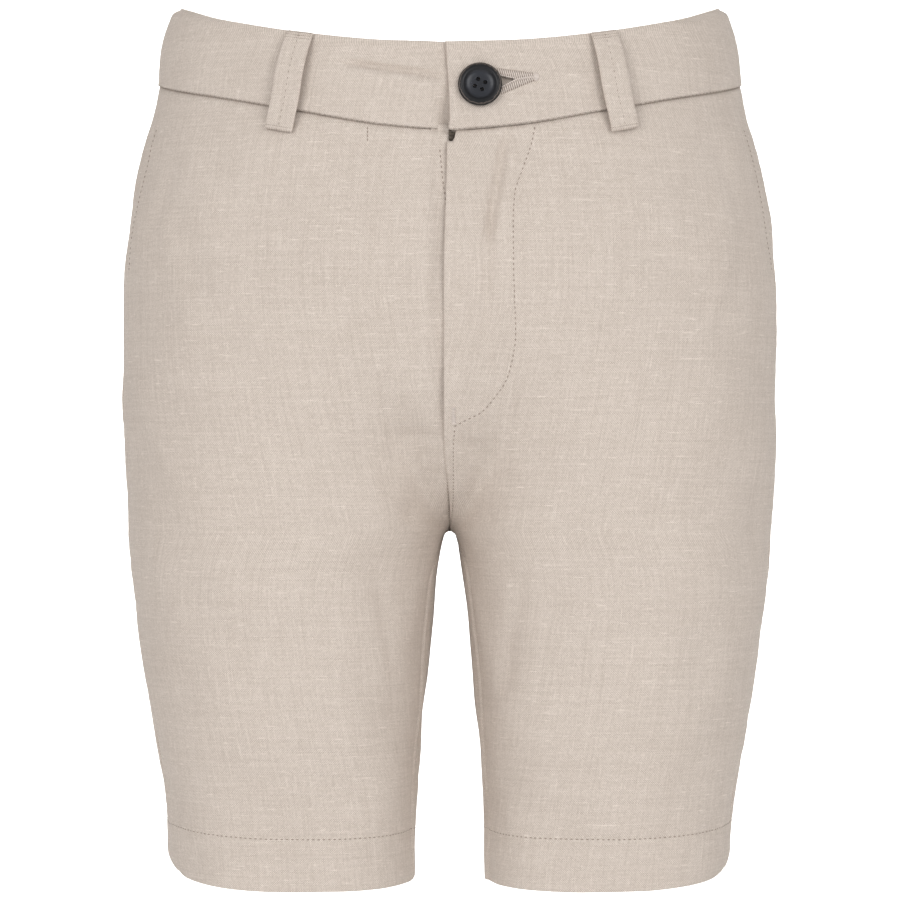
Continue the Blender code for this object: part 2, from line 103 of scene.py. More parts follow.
# %% Waist, hem and seams
# The waist dips in front: heights of the band's top edge and of its seam, one row for each
# angle from the side (0) to the middle (90). The hem is nearly level. The seams of a leg lie
# a little off its outer and inner sides, by these angles on its ring.
WAIST_COLUMNS = ("angle", "front_top", "front_seam", "back_top", "back_seam")
WAIST = (
    (0, 33.5, 0.0, 33.5, 0.0),
    (20, 29.0, -5.2, 33.2, -1.0),
    (45, 20.2, -12.0, 31.6, -3.6),
    (65, 13.8, -19.0, 29.0, -6.2),
    (80, 10.4, -24.8, 27.0, -7.8),
    (90, 9.6, -27.3, 26.4, -8.2),
)
HEM_COLUMNS = ("angle", "front", "back")
HEM = (
    (0, -335.5, -335.5),
    (90, -340.0, -337.5),
    (180, -338.5, -338.5),
)
SEAM_COLUMNS = ("height", "outseam", "inseam")
SEAMS = (
    (-190.5, 8, 180),
    (-214, 9, 168),
    (-280, 12, 170),
    (-340, 15, 173),
)
print("the waist dips", round(WAIST[0][2] - WAIST[-1][2], 1), "mm in front")


# %% Smooth curves through a table
def column(table, names, name):
    """One column of a table, as an array."""
    return np.array([row[names.index(name)] for row in table], float)


def smooth_through(at, xs, ys):
    """Cubic Hermite curve through the points, with slopes that never overshoot.

    The slope at a point is the harmonic mean of the slopes of the two pieces beside it, or
    zero where they differ in sign.
    """
    order = np.argsort(xs)
    xs, ys = xs[order], ys[order]
    steps = np.diff(ys) / np.diff(xs)
    inner = np.where(steps[:-1] * steps[1:] > 0, 2 * steps[:-1] * steps[1:], 0.0)
    inner = inner / np.where(inner == 0, 1.0, steps[:-1] + steps[1:])
    slopes = np.concatenate([steps[:1], inner, steps[-1:]])
    at = np.clip(at, xs[0], xs[-1])
    i = np.clip(np.searchsorted(xs, at) - 1, 0, len(xs) - 2)
    width = xs[i + 1] - xs[i]
    u = (at - xs[i]) / width
    return (
        ys[i] * (1 + 2 * u) * (1 - u) ** 2
        + ys[i + 1] * u * u * (3 - 2 * u)
        + width * (slopes[i] * u * (1 - u) ** 2 - slopes[i + 1] * u * u * (1 - u))
    )


def smooth_step(value, start, end):
    """0 before start, 1 after end, and 3u^2 - 2u^3 between them."""
    u = np.clip((value - start) / (end - start), 0.0, 1.0)
    return u * u * (3 - 2 * u)


def power(value, exponent):
    """A power that keeps the sign."""
    return np.sign(value) * np.abs(value) ** exponent


print("half way up a smooth step:", float(smooth_step(0.5, 0.0, 1.0)))


# %% Read the tables at any height or angle
def read(table, names, name, at):
    """One column of a table at these heights or angles, which are its first column."""
    return smooth_through(
        np.asarray(at, float), column(table, names, names[0]), column(table, names, name)
    )


def section(name, height):
    """One value of the sections at these heights."""
    return read(SECTIONS, SECTION_COLUMNS, name, height)


def by_angle(table, names, angle, front_name, back_name):
    """One value of the waist or the hem: the front column, or the back one below angle 0."""
    inside = np.abs(np.asarray(angle, float))
    front = read(table, names, front_name, inside)
    return np.where(angle < 0, read(table, names, back_name, inside), front)


def waist(name, angle):
    """Height of the waistband's "top" or "seam", the same on either side of the middle."""
    inside = 90.0 - np.abs(np.abs(np.asarray(angle, float)) - 90.0)
    signed = np.where(np.asarray(angle) < 0, -inside, inside)
    return by_angle(WAIST, WAIST_COLUMNS, signed, "front_" + name, "back_" + name)


def hem(angle):
    """Height of the free edge of a leg."""
    return by_angle(HEM, HEM_COLUMNS, angle, "front", "back")


def seam_angle(name, height):
    """Angle of the outseam or inseam on the ring of a leg."""
    return read(SEAMS, SEAM_COLUMNS, name, height)


print("middle of the waist in front:", float(waist("top", 90.0)), "to", float(waist("seam", 90.0)))

# %% [markdown]
# ## Rings of the body and of a leg
# A superellipse is an ellipse whose corners fill out, which is how cloth stands round a body.
# Above the hips one such ring goes round both legs. Below the crotch each leg has its own, and
# between them the cloth changes from one to the other: late and fast on the middle line, which
# makes the crotch curve, slowly at the sides, and in between beside the fork.

# %% Two rings
INSEAM_Y = -6.0
INNER_SPREAD = 2.5
SEAM_GAP = 0.3


def torso(angle, height):
    """Ring of the wearer's left half: x = outer cos^(2/n), y = -depth sin^(2/n).

    -90 is the middle behind, 0 the side and 90 the middle in front, and angles past those go
    on across the centre plane.
    """
    turn = np.radians(angle)
    bend = 2.0 / section("square", height)
    depth = np.where(np.asarray(angle) < 0, section("back", height), section("front", height))
    x = section("outer", height) * power(np.cos(turn), bend)
    y = -depth * power(np.sin(turn), bend)
    return np.stack(np.broadcast_arrays(x, y, height), axis=-1)


def thigh(angle, height):
    """Ring of the left leg: 0 is the outer side, 90 the front, -90 behind, 180 the inner side.

    It is the same superellipse on half the width, pushed off the centre plane on its inner side.
    """
    turn = np.radians(angle)
    bend = 2.0 / section("square", height)
    seam_y = INSEAM_Y * (1 - np.cos(np.clip(2 * np.abs(turn) - np.pi, 0, 2 * np.pi))) / 2
    depth = np.where(np.sin(turn) < 0, section("back", height), section("front", height))
    inwards = ((1 - np.cos(turn)) / 2) ** INNER_SPREAD
    x = section("outer", height) / 2 * (1 + power(np.cos(turn), bend))
    x = x + (section("inner", height) + SEAM_GAP / 2) * inwards
    y = seam_y - depth * power(np.sin(turn), bend)
    return np.stack(np.broadcast_arrays(x, y, height), axis=-1)


print("side of the hips in mm:", np.round(torso(0.0, -95.0), 1))

# %% The ring between body and legs
HIP_LINE = -118.0
CROTCH = -190.5
PART_FROM, PART_TO = -70.0, -235.0
FORK_TO, FORK_FROM = -208.0, 0.40
MIDDLE_FROM = 0.78


def turned_to_seams(along, height):
    """Angles of the thigh ring, stretched so that they end on the seams at each height."""
    outseam, inseam = seam_angle("outseam", height), seam_angle("inseam", height)
    start = float(seam_angle("outseam", CROTCH))
    if along[0] < 0:
        return outseam - (start - along) * (outseam + 360.0 - inseam) / (start + 180.0)
    return outseam + (along - start) * (inseam - outseam) / (180.0 - start)


def parted_ring(around, along, height, share):
    """Mix of the body ring and the leg ring; share is 0 at the outseam and 1 at the middle.

    The middle line follows a quarter of an ellipse from the hip line to the crotch point,
    1 - sqrt(1 - drop^2). The fork and the rest change by smooth steps over longer heights.
    """
    drop = np.clip((HIP_LINE - height) / (HIP_LINE - CROTCH), 0.0, 1.0)
    middle = 1 - np.sqrt(1 - drop**2)
    fork = smooth_step(-height, -HIP_LINE, -FORK_TO)
    rest = smooth_step(-height, -PART_FROM, -PART_TO)
    inner = fork + (middle - fork) * smooth_step(share, MIDDLE_FROM, 1.0)
    part = (rest + (inner - rest) * smooth_step(share, FORK_FROM, 1.0))[..., None]
    lower = thigh(turned_to_seams(along, height), height)
    return (1 - part) * torso(around, height) + part * lower


print("the cloth parts between", PART_FROM, "and", PART_TO, "mm, and is two tubes below", CROTCH)

# %% [markdown]
# ## A panel of cloth as a grid
# The CAD panels are coarse, so each front and back is laid again on the same skin with a fine
# grid. Rows run from the waist seam down to the hem and columns from the back to the front.
# Columns crowd at the seams, where edges turn under, and rows crowd at the crotch, where the
# shape changes fastest. The whole grid is worked out as arrays.

# %% Columns and rows
PANEL_COLUMNS = 124
CROWDING = 0.78
TORSO_ROWS, CROTCH_ROWS, ARCH_ROWS, LEG_ROWS = 62, 44, 5, 78
# A column near the middle of a panel, along which its rows are measured.
MIDDLE_COLUMN = 60
ARCH_DEPTH = 4.6
WAIST_GAP = 0.45
TORSO_SPACED_AT, LEG_SPACED_AT = -80.0, -230.0


def crowded(count, crowding=CROWDING):
    """Numbers from 0 to 1, closer together at both ends: t - k sin(2 pi t) / (2 pi)."""
    t = np.linspace(0, 1, count)
    return t - crowding * np.sin(2 * np.pi * t) / (2 * np.pi)


def spaced_angles(ring, start, end, height, shares, gaps=(SEAM_GAP / 2, SEAM_GAP / 2)):
    """Angles that cut a ring at these shares of its length, short of each end by a gap."""
    fine = np.linspace(start, end, 2400)
    points = ring(fine, np.full_like(fine, height))
    length = np.concatenate([[0], np.cumsum(np.linalg.norm(np.diff(points, axis=0), axis=1))])
    return np.interp(gaps[0] + shares * (length[-1] - gaps[0] - gaps[1]), length, fine)


def panel_heights(seam_line, hem_line):
    """Height of every grid point: even rows to the hip line, a quarter circle of rows round the
    crotch curve, an arch between the legs, and rows down the leg that crowd towards the hem."""
    level = 0 * seam_line
    share = np.linspace(0, 1, TORSO_ROWS, endpoint=False)[:, None]
    body = seam_line + (HIP_LINE - seam_line) * share
    turn = np.radians(np.linspace(0, 90, CROTCH_ROWS))[:, None]
    curve = CROTCH + (HIP_LINE - CROTCH) * (1 - np.sin(turn)) + level
    arch = CROTCH - ARCH_DEPTH * np.linspace(0, 1, ARCH_ROWS + 1)[1:, None] + level
    down = np.sin(np.linspace(0, np.pi / 2, LEG_ROWS + 1))[1:, None] ** 0.9
    leg = arch[-1] + (hem_line - arch[-1]) * down
    return np.concatenate([body, curve, arch, leg])


def panel_skin(behind, seam_drop=None):
    """Grid of points of the left front or back. seam_drop lowers the top edge, column by column."""
    outseam = float(seam_angle("outseam", CROTCH))
    shares = crowded(PANEL_COLUMNS)
    upper = (-90.0, outseam) if behind else (outseam, 90.0)
    lower = (-180.0, outseam) if behind else (outseam, 180.0)
    around = spaced_angles(torso, *upper, TORSO_SPACED_AT, shares)
    along = spaced_angles(thigh, *lower, LEG_SPACED_AT, shares)
    seam_line = waist("seam", around) - WAIST_GAP
    if seam_drop is not None:
        seam_line = seam_line - seam_drop(torso(around, TORSO_SPACED_AT)[:, 0])
    heights = panel_heights(seam_line, hem(along))
    return parted_ring(around, along, heights, shares[::-1] if behind else shares)


sample = panel_skin(False)
hem_height = round(float(sample[-1, MIDDLE_COLUMN, 2]), 1)
print("grid of a front:", sample.shape[:2], "points, hem at", hem_height)


# %% Directions on a grid
def unit(vectors):
    """Vectors of length 1."""
    return vectors / np.maximum(np.linalg.norm(vectors, axis=-1, keepdims=True), 1e-9)


def directions(grid):
    """Outward normal, and the unit steps across the columns and down the rows."""
    down = unit(np.gradient(grid, axis=0))
    across = unit(np.gradient(grid, axis=1))
    return unit(np.cross(across, down)), across, down


def run_length(grid, axis, start):
    """Length along the rows or columns, measured from one row or column of the grid."""
    steps = np.linalg.norm(np.diff(grid, axis=axis), axis=-1)
    zeros = np.zeros_like(np.take(steps, [0], axis=axis))
    total = np.concatenate([zeros, np.cumsum(steps, axis=axis)], axis=axis)
    return total - np.take(total, [start], axis=axis)


across_hips = run_length(sample, 1, 0)[TORSO_ROWS]
print("a front is", round(float(across_hips[-1]), 1), "mm wide at the hip line")

# %% [markdown]
# ## Creases
# Linen that has been pressed and filled out shows hardly any folds: a few shallow troughs, soft
# drag lines that fan out from the foot of the fly, and a general unevenness. Each crease is
# given as a line between two points of the cloth, with a half width and a depth, and
# its cross section is a bell curve that fades at both ends. Below it all lies a slow, uneven
# swell, because no stretch of cloth is quite true. Hidden sides get creases like those in front.

# %% The list of creases
# One row for each crease: its two ends, as distance from the middle plane and height, its half
# width and its depth. Depth is inwards, so a minus sign makes a ridge.
CREASES = {
    "front_left": (
        (26, -28, 21, -60, 3.2, -0.50),
        (20, -52, 19, -106, 3.6, -0.30),
        (15, -30, 10, -60, 2.8, -0.25),
        (34, -40, 55, -38, 5.0, 0.45),
        (64, -77, 99, -75, 7.0, 0.40),
        (84, -112, 112, -96, 9.0, 0.35),
        (44, -147, 63, -143, 5.0, 0.40),
        (3, -150, 15, -160, 2.6, 0.55),
        (4, -156, 30, -176, 4.0, 0.45),
        (3, -163, 16, -188, 4.0, 0.60),
        (28, -150, 60, -186, 8.0, 0.45),
        (8, -148, 34, -146, 3.0, 0.30),
        (50, -60, 40, -112, 7.0, -0.25),
        (70, -130, 100, -160, 10.0, 0.35),
        (56, -180, 64, -192, 9.0, 0.35),
        (57, -236, 80, -243, 9.0, 0.45),
        (30, -205, 22, -262, 4.5, 0.50),
        (44, -225, 40, -300, 6.0, -0.30),
        (96, -210, 108, -262, 8.0, 0.35),
        (104, -120, 118, -60, 6.0, -0.35),
        (110, -30, 122, -62, 5.0, 0.30),
        (80, -292, 110, -284, 8.0, 0.30),
    ),
    "front_right": (
        (6, -36, 5, -120, 2.6, 0.40),
        (39, -37, 55, -40, 5.0, 0.50),
        (64, -76, 96, -72, 7.0, 0.45),
        (76, -98, 92, -104, 7.0, 0.35),
        (20, -70, 44, -88, 3.6, 0.35),
        (14, -92, 40, -112, 3.4, 0.40),
        (22, -112, 50, -104, 3.6, 0.30),
        (12, -118, 34, -134, 3.2, 0.40),
        (40, -78, 54, -104, 4.5, -0.30),
        (44, -147, 62, -145, 5.0, 0.45),
        (2, -150, 24, -154, 2.6, 0.55),
        (3, -158, 30, -172, 4.0, 0.50),
        (3, -165, 17, -188, 4.0, 0.60),
        (30, -156, 62, -186, 8.0, 0.40),
        (66, -180, 50, -196, 9.0, 0.35),
        (58, -238, 94, -242, 9.0, 0.50),
        (30, -204, 23, -258, 4.5, 0.50),
        (46, -220, 38, -296, 6.0, -0.35),
        (100, -206, 110, -256, 8.0, 0.35),
        (104, -116, 120, -58, 6.0, -0.40),
        (112, -34, 124, -66, 5.0, 0.30),
        (70, -300, 98, -290, 8.0, 0.25),
    ),
    "back_left": (
        (6, -150, 34, -168, 4.5, 0.70),
        (5, -166, 30, -192, 5.0, 0.80),
        (24, -178, 66, -206, 7.0, 0.80),
        (60, -196, 104, -190, 8.0, 0.55),
        (40, -150, 84, -172, 9.0, 0.40),
        (30, -60, 70, -52, 7.0, 0.35),
        (84, -70, 118, -84, 8.0, 0.40),
        (34, -214, 28, -290, 5.0, 0.45),
        (76, -226, 104, -244, 8.0, 0.45),
        (52, -262, 84, -276, 8.0, 0.35),
        (50, -118, 44, -90, 8.0, -0.30),
        (96, -128, 116, -158, 8.0, 0.35),
    ),
    "back_right": (
        (6, -146, 30, -166, 4.5, 0.65),
        (5, -168, 34, -190, 5.0, 0.85),
        (28, -182, 72, -204, 7.0, 0.75),
        (66, -192, 108, -198, 8.0, 0.55),
        (36, -156, 80, -170, 9.0, 0.45),
        (26, -64, 62, -54, 7.0, 0.35),
        (88, -64, 120, -80, 8.0, 0.35),
        (35, -216, 30, -280, 5.0, 0.45),
        (72, -232, 100, -240, 8.0, 0.50),
        (58, -270, 92, -262, 8.0, 0.35),
        (100, -122, 118, -150, 8.0, 0.40),
    ),
}
print({name: len(rows) for name, rows in CREASES.items()}, "creases")


# %% Troughs and ridges
# Sharper folds, in the same columns.
FOLDS = {
    "front_left": (
        (23.0, -26, 15.6, -72, 1.25, 1.65),
        (16.8, -54, 13.5, -116, 1.7, 1.10),
    ),
}
FOLD_FOOT = 0.7
CREASE_SHARE = 2.2
CREASE_FADE = 0.9


def nearest_on(grid, x, z):
    """The grid point that is nearest to these, seen from the front."""
    apart = (grid[..., 0] - x) ** 2 + (grid[..., 2] - z) ** 2
    return grid.reshape(-1, 3)[int(np.argmin(apart))]


def crease_depth(grid, rows, sharp=False):
    """Sum of the creases: s depth exp(-(d/w)^2) (1 - 0.9 (2t-1)^4), d being the distance to the
    line of the crease and t how far along it the point lies. A sharp one falls as exp(-d/w),
    and is round only at its foot."""
    total = np.zeros(grid.shape[:2])
    for x1, z1, x2, z2, half_width, depth in rows:
        start, end = nearest_on(grid, x1, z1), nearest_on(grid, x2, z2)
        line = end - start
        t = np.clip(((grid - start) @ line) / (line @ line), 0, 1)
        apart = np.linalg.norm(grid - start - t[..., None] * line, axis=-1)
        fade = 1 - CREASE_FADE * (2 * t - 1) ** 4
        if sharp:
            away = (np.hypot(apart, FOLD_FOOT) - FOLD_FOOT) / half_width
        else:
            away = (apart / half_width) ** 2
        total += CREASE_SHARE * depth * np.exp(-away) * fade
    return total


def swell(across, down, seed):
    """Slow unevenness: five crossing sine waves of 19 to 90 mm, their phases set by the seed."""
    waves = ((90, 60, 0.30), (-47, 71, 0.22), (35, 38, 0.13), (29, -52, 0.11), (-19, 27, 0.05))
    parts = [
        height * np.sin(2 * np.pi * (across / wide + down / tall) + 1.9 * number + 2.3 * seed)
        for number, (wide, tall, height) in enumerate(waves)
    ]
    return np.sum(parts, axis=0)


deepest = crease_depth(sample, CREASES["front_left"]).max()
print("deepest crease of a front:", round(float(deepest), 2))

# %% [markdown]
# ## Seams, puckers and the lap of the fly
# A seam pulls the cloth down into a fine groove, and its stitches gather the cloth beside it
# into short puckers. The hem does the same along its stitches. The left front carries the fly,
# so its edge passes the middle and lies on top of the right one. The top of the pocket edge
# stands a little away from the side seam, because hands go in there.

# %% Shape of seams and edges
# The fly: how far its edge passes the middle, the heights between which it leans back and by
# how much, where it ends, and how far its two edges lie forwards and back.
FLY_LAP, FLY_LEAN, FLY_LEAN_BY = 2.4, (-90.0, -32.0), 1.3
FLY_END, FLY_FADE = -152.0, 34.0
LAP_LIFT, LAP_SINK = 0.8, 1.5
LAP_REACH = (2.75, 11.0)
LAP_FADE = 40.0
HEM_DEPTH = 21.5
HEM_CURL, HEM_CURL_HEIGHT, HEM_CURL_WIDTH = 3.4, 9.0, 22.0
# The inseam's turning: its width, the width of its edge, how far it stands out and the groove.
TURNING_SHOWS, TURNING_EDGE = 8.5, 1.2
TURNING_STEP, TURNING_GROOVE = 0.50, 0.70
TURNING_TOP = (CROTCH - 12.0, CROTCH + 4.0)
POCKET_SPAN = (-87.0, -8.0)
POCKET_LIFT, POCKET_LIFT_WIDTH, POCKET_LIFT_FADE = 0.40, 6.0, 20.0
NOTCH_DROP, NOTCH_EDGE = 4.0, (2.6, 3.1)
# Depth of a sewn groove and how far it reaches.
SEAM_GROOVE, HEM_GROOVE, WAIST_GROOVE = (0.30, 0.7), (0.22, 1.0), (0.28, 0.8)
# Puckers beside it: their height, their period and how far they reach.
SEAM_PUCKERS, HEM_PUCKERS, WAIST_PUCKERS = (0.09, 7.5, 4.0), (0.16, 8.3, 7.0), (0.08, 6.4, 5.0)


def lapped(grid, out):
    """Moves the fly edge of a front towards -Y by this much, fading across and below the fly."""
    near = 1 - smooth_step(np.abs(grid[..., 0]), *LAP_REACH)
    tall = smooth_step(grid[..., 2], FLY_END - LAP_FADE, FLY_END)
    made = grid.copy()
    made[..., 1] -= out * near * tall
    return made


def pucker(distance, period):
    """Short waves along a seam: sin(2 pi s / p + 1.6 sin(2 pi s / 5.1p)), so p wanders."""
    wander = 1.6 * np.sin(2 * np.pi * distance / (5.1 * period))
    return np.sin(2 * np.pi * distance / period + wander)


def gathered(away, along, groove, puckers):
    """A seam's groove, and the puckers of the cloth beside it."""
    height, period, reach = puckers
    waves = height * pucker(along, period) * np.exp(-away / reach)
    return groove[0] * np.exp(-away / groove[1]) + waves


def seam_depth(grid, behind):
    """How far seams, hem stitches and pocket edges move the cloth inwards."""
    from_side = np.abs(run_length(grid, 1, -1 if behind else 0))
    from_middle = np.abs(run_length(grid, 1, 0 if behind else -1))
    down, above_hem = run_length(grid, 0, 0), np.abs(run_length(grid, 0, -1))
    depth = gathered(from_side, down, SEAM_GROOVE, SEAM_PUCKERS)
    depth += gathered(from_middle, down, SEAM_GROOVE, SEAM_PUCKERS)
    depth += gathered(down, from_middle, WAIST_GROOVE, WAIST_PUCKERS)
    depth += HEM_GROOVE[0] * np.exp(-(((above_hem - HEM_DEPTH) / HEM_GROOVE[1]) ** 2))
    height, period, reach = HEM_PUCKERS
    around = np.exp(-((np.abs(above_hem - HEM_DEPTH) / reach) ** 1.5))
    depth += height * pucker(from_middle, period) * around
    # At the side seam, the hem curls in.
    curl = np.clip(1 - above_hem / HEM_CURL_HEIGHT, 0, 1) ** 2
    depth += HEM_CURL * curl * np.exp(-((from_side / HEM_CURL_WIDTH) ** 2))
    if behind:
        return depth
    # The edge of the pocket opening stands off.
    height, (low, high) = grid[..., 2], POCKET_SPAN
    open_edge = smooth_step(height, low, low + POCKET_LIFT_FADE)
    open_edge = open_edge * (1 - smooth_step(height, high - POCKET_LIFT_FADE, high))
    depth -= POCKET_LIFT * open_edge * np.exp(-((from_side / POCKET_LIFT_WIDTH) ** 2))
    # The turning of the inseam is pressed forwards and shows through as a low step.
    leg = 1 - smooth_step(height, *TURNING_TOP)
    step = 1 - smooth_step(from_middle, TURNING_SHOWS, TURNING_SHOWS + TURNING_EDGE)
    depth -= TURNING_STEP * step * leg
    depth += TURNING_GROOVE * leg * np.exp(-((from_middle - TURNING_SHOWS - TURNING_EDGE) ** 2))
    return depth


print("a hem is turned up", HEM_DEPTH, "mm, a pocket opens for", POCKET_SPAN[1] - POCKET_SPAN[0])


# %% The finished face of each panel
# Rows that are averaged where torso and thigh meet, how near an edge that stops, and its share.
SOFT_FROM, SOFT_TO = TORSO_ROWS + 26, TORSO_ROWS + 60
SOFT_EDGE, SOFT_SHARE = (6.0, 16.0), 0.6
FIRM_REACH, CALM_REACH = 3.5, 12.0
FLY_EDGE_REACH, MIDDLE_REACH = 3.0, 1.5


def notch(x):
    """How far the top corner of the fly is cut down: the end of the zip shows there."""
    return NOTCH_DROP * (1 - smooth_step(x, *NOTCH_EDGE))


def softened(grid, passes=14):
    """Averages neighbouring rows where torso and thigh meet, away from the panel's own edges."""
    made = grid.copy()
    away = np.minimum(np.abs(run_length(grid, 1, 0)), np.abs(run_length(grid, 1, -1)))
    rows = slice(SOFT_FROM, SOFT_TO)
    hill = np.sin(np.linspace(0, np.pi, SOFT_TO - SOFT_FROM))[:, None]
    share = SOFT_SHARE * (smooth_step(away, *SOFT_EDGE)[rows] * hill)[..., None]
    for _ in range(passes):
        between = (made[SOFT_FROM - 1 : SOFT_TO - 1] + made[SOFT_FROM + 1 : SOFT_TO + 1]) / 2
        made[rows] += share * (between - made[rows])
    return made


def panel_face(name, seed):
    """Outer face of a panel, with its lap, seams, creases and swell.

    Creases fade only just under the waist seam, where the band holds the cloth, and the slow
    swell fades over a longer stretch.
    """
    behind, left = name.startswith("back"), name.endswith("left")
    grid = softened(panel_skin(behind, notch if name == "front_left" else None))
    if name == "front_left":
        passing = smooth_step(grid[..., 2], FLY_END - FLY_FADE, FLY_END)
        reach = np.exp(-np.abs(grid[:, -1:, 0] - grid[..., 0]) / FLY_EDGE_REACH)
        upper = smooth_step(grid[:, -1:, 2], *FLY_LEAN)
        grid[..., 0] -= (FLY_LAP - FLY_LEAN_BY * upper + SEAM_GAP / 2) * passing[:, -1:] * reach
    if not behind:
        grid = lapped(grid, LAP_LIFT if left else -LAP_SINK)
    normal, _, _ = directions(grid)
    across, down = run_length(grid, 1, MIDDLE_COLUMN), run_length(grid, 0, 0)
    firm, calm = 1 - np.exp(-down / FIRM_REACH), 1 - np.exp(-down / CALM_REACH)
    depth = crease_depth(grid, CREASES[name]) + crease_depth(grid, FOLDS.get(name, ()), sharp=True)
    depth = depth * firm + seam_depth(grid, behind) + swell(across, down, seed) * calm
    made = grid - normal * depth[..., None]
    # The middle seam stays closed: beside it, the cloth moves only forwards or back.
    beside = np.exp(-np.abs(run_length(grid, 1, 0 if behind else -1)) / MIDDLE_REACH)
    beside = beside * (grid[..., 2] > CROTCH)
    made[..., 0] += (grid[..., 0] - made[..., 0]) * beside
    return made


PANELS = ("front_left", "front_right", "back_left", "back_right")
faces = {name: panel_face(name, seed) for seed, name in enumerate(PANELS)}
for name, grid in faces.items():
    low, high = grid.reshape(-1, 3).min(0), grid.reshape(-1, 3).max(0)
    print(name, "from", np.round(low, 1), "to", np.round(high, 1))

# %% [markdown]
# ## Edges that turn under
# A cut edge of linen would fray, so every edge of these shorts is turned: the seams have
# turnings pressed flat inside, and the hem is folded up and sewn. On the mesh that means that
# the sheet goes on past its edge, round a small bend, and comes back a little deeper. Since the
# turned cloth lies on the same grid, it takes its rows or columns again in reverse order, each
# with a depth, so no new shape has to be drawn.

# %% Turning an edge
PLY = 0.45
TURNED_DEPTH = 1.05
SEAM_TURNING = 8.5
BEND = ((0.16, 0.22), (0.50, 0.34), (0.86, 0.20))


def turned(lengths, reach, depth=TURNED_DEPTH, skip=1):
    """Row or column numbers of an edge's turning, outwards from the edge: a bend of three, then
    the numbers back inside until this reach. Returns (number, depth, distance past the edge)."""
    back = np.arange(0, int(np.searchsorted(lengths, reach)) + 1)[::skip]
    numbers = np.concatenate([np.zeros(len(BEND), int), back])
    depths = np.concatenate([[d * depth for d, _ in BEND], np.full(len(back), depth)])
    past = np.concatenate([[out for _, out in BEND], np.zeros(len(back))])
    return numbers, depths, past


def folded_line(count, first=None, last=None):
    """Numbers, depths and overshoots of a whole line of the grid, with its turned ends."""
    numbers, depths, past = np.arange(count), np.zeros(count), np.zeros(count)
    if first is not None:
        numbers = np.concatenate([first[0][::-1], numbers])
        depths = np.concatenate([first[1][::-1], depths])
        past = np.concatenate([-first[2][::-1], past])
    if last is not None:
        numbers = np.concatenate([numbers, count - 1 - last[0]])
        depths = np.concatenate([depths, last[1]])
        past = np.concatenate([past, last[2]])
    return numbers, depths, past


def folded_grid(grid, rows, columns):
    """The sheet with its turned edges: grid[rows][columns] - depth * normal + overshoot."""
    normal, across, down = directions(grid)
    (i, row_depth, row_past), (j, column_depth, column_past) = rows, columns
    pick = np.ix_(i, j)
    depth = row_depth[:, None] + column_depth[None, :]
    made = grid[pick] - normal[pick] * depth[..., None]
    made += down[pick] * row_past[:, None, None] + across[pick] * column_past[None, :, None]
    return made


print("bend of a turned edge:", BEND)


# %% Meshes of cloth
# Each mesh takes its cloth from another place of the bolt, this far on in metres.
BOLT_STEP = 0.13


def grid_mesh(name, grid, side, keep=None):
    """Quads between neighbouring points, facing outwards, with a UV map in metres of cloth.

    u is the length run across the sheet and v its height, so a weave drawn in UV keeps its true
    size and its threads stay level. side -1 mirrors the piece to the wearer's right, and keep
    picks the quads that stay.
    """
    rows, columns = grid.shape[:2]
    index = np.arange(rows * columns).reshape(rows, columns)
    quads = np.stack([index[:-1, :-1], index[:-1, 1:], index[1:, 1:], index[1:, :-1]], axis=-1)
    quads = quads.reshape(-1, 4) if keep is None else quads[keep]
    if side < 0:
        quads = quads[:, ::-1]
    mesh = bpy.data.meshes.new(name)
    mesh.from_pydata((grid.reshape(-1, 3) * MM * (side, 1, 1)).tolist(), [], quads.tolist())
    u = run_length(grid, 1, columns // 2)
    flat = np.stack([u, grid[..., 2]], axis=-1).reshape(-1, 2) * MM
    flat = flat + BOLT_STEP * len(bpy.data.meshes)
    layer = mesh.uv_layers.new(name="cloth")
    layer.data.foreach_set("uv", flat[quads.reshape(-1)].astype(np.float32).ravel())
    mesh.shade_smooth()
    return mesh


def add_piece(name, mesh, material):
    """A new piece at the origin, in the scene's own collection."""
    made = bpy.data.objects.new(name, mesh)
    mesh.materials.append(material)
    bpy.context.scene.collection.objects.link(made)
    return made


def add_cloth(name, grid, side, material, ply=PLY, keep=None):
    """A sheet of cloth: its mesh is the outer face and the wall grows inwards."""
    made = add_piece(name, grid_mesh(name, grid, side, keep), material)
    wall = made.modifiers.new("ply", "SOLIDIFY")
    wall.thickness = ply * MM
    wall.offset = -1.0
    return made


print("one layer of linen is", PLY, "mm")

# %% [markdown]
# ## Linen
# Linen is spun from long, uneven fibres, so its plain weave shows thick and thin threads, called
# slubs, both ways. An image of cloth would repeat, so the weave is worked out instead. Two sine
# waves give the warp and weft, noise that runs along each thread gives the slubs and the change
# of tone from thread to thread, and slow noise gives the faint cloudiness of dyed flax. The
# same heights drive a shallow bump. The cloth is matt, with a slight sheen at grazing angles
# from its loose fibres.

# %% Node helpers
def new_material(name, roughness, metallic=0.0):
    """An empty node material, as (material, nodes, links, shader)."""
    made = bpy.data.materials.new(name)
    made.use_nodes = True
    shader = made.node_tree.nodes["Principled BSDF"]
    shader.inputs["Roughness"].default_value = roughness
    shader.inputs["Metallic"].default_value = metallic
    return made, made.node_tree.nodes, made.node_tree.links, shader


def math_node(nodes, links, operation, first, second=None, third=None):
    """One Math node on numbers or other nodes' outputs, and its output."""
    made = nodes.new("ShaderNodeMath")
    made.operation = operation
    for socket, value in zip(made.inputs, (first, second, third)):
        if isinstance(value, (int, float)):
            socket.default_value = value
        elif value is not None:
            links.new(value, socket)
    return made.outputs[0]


def maths(nodes, links):
    """A short way to write Math nodes: op(operation, first, second, third)."""

    def op(operation, *values):
        return math_node(nodes, links, operation, *values)

    return op


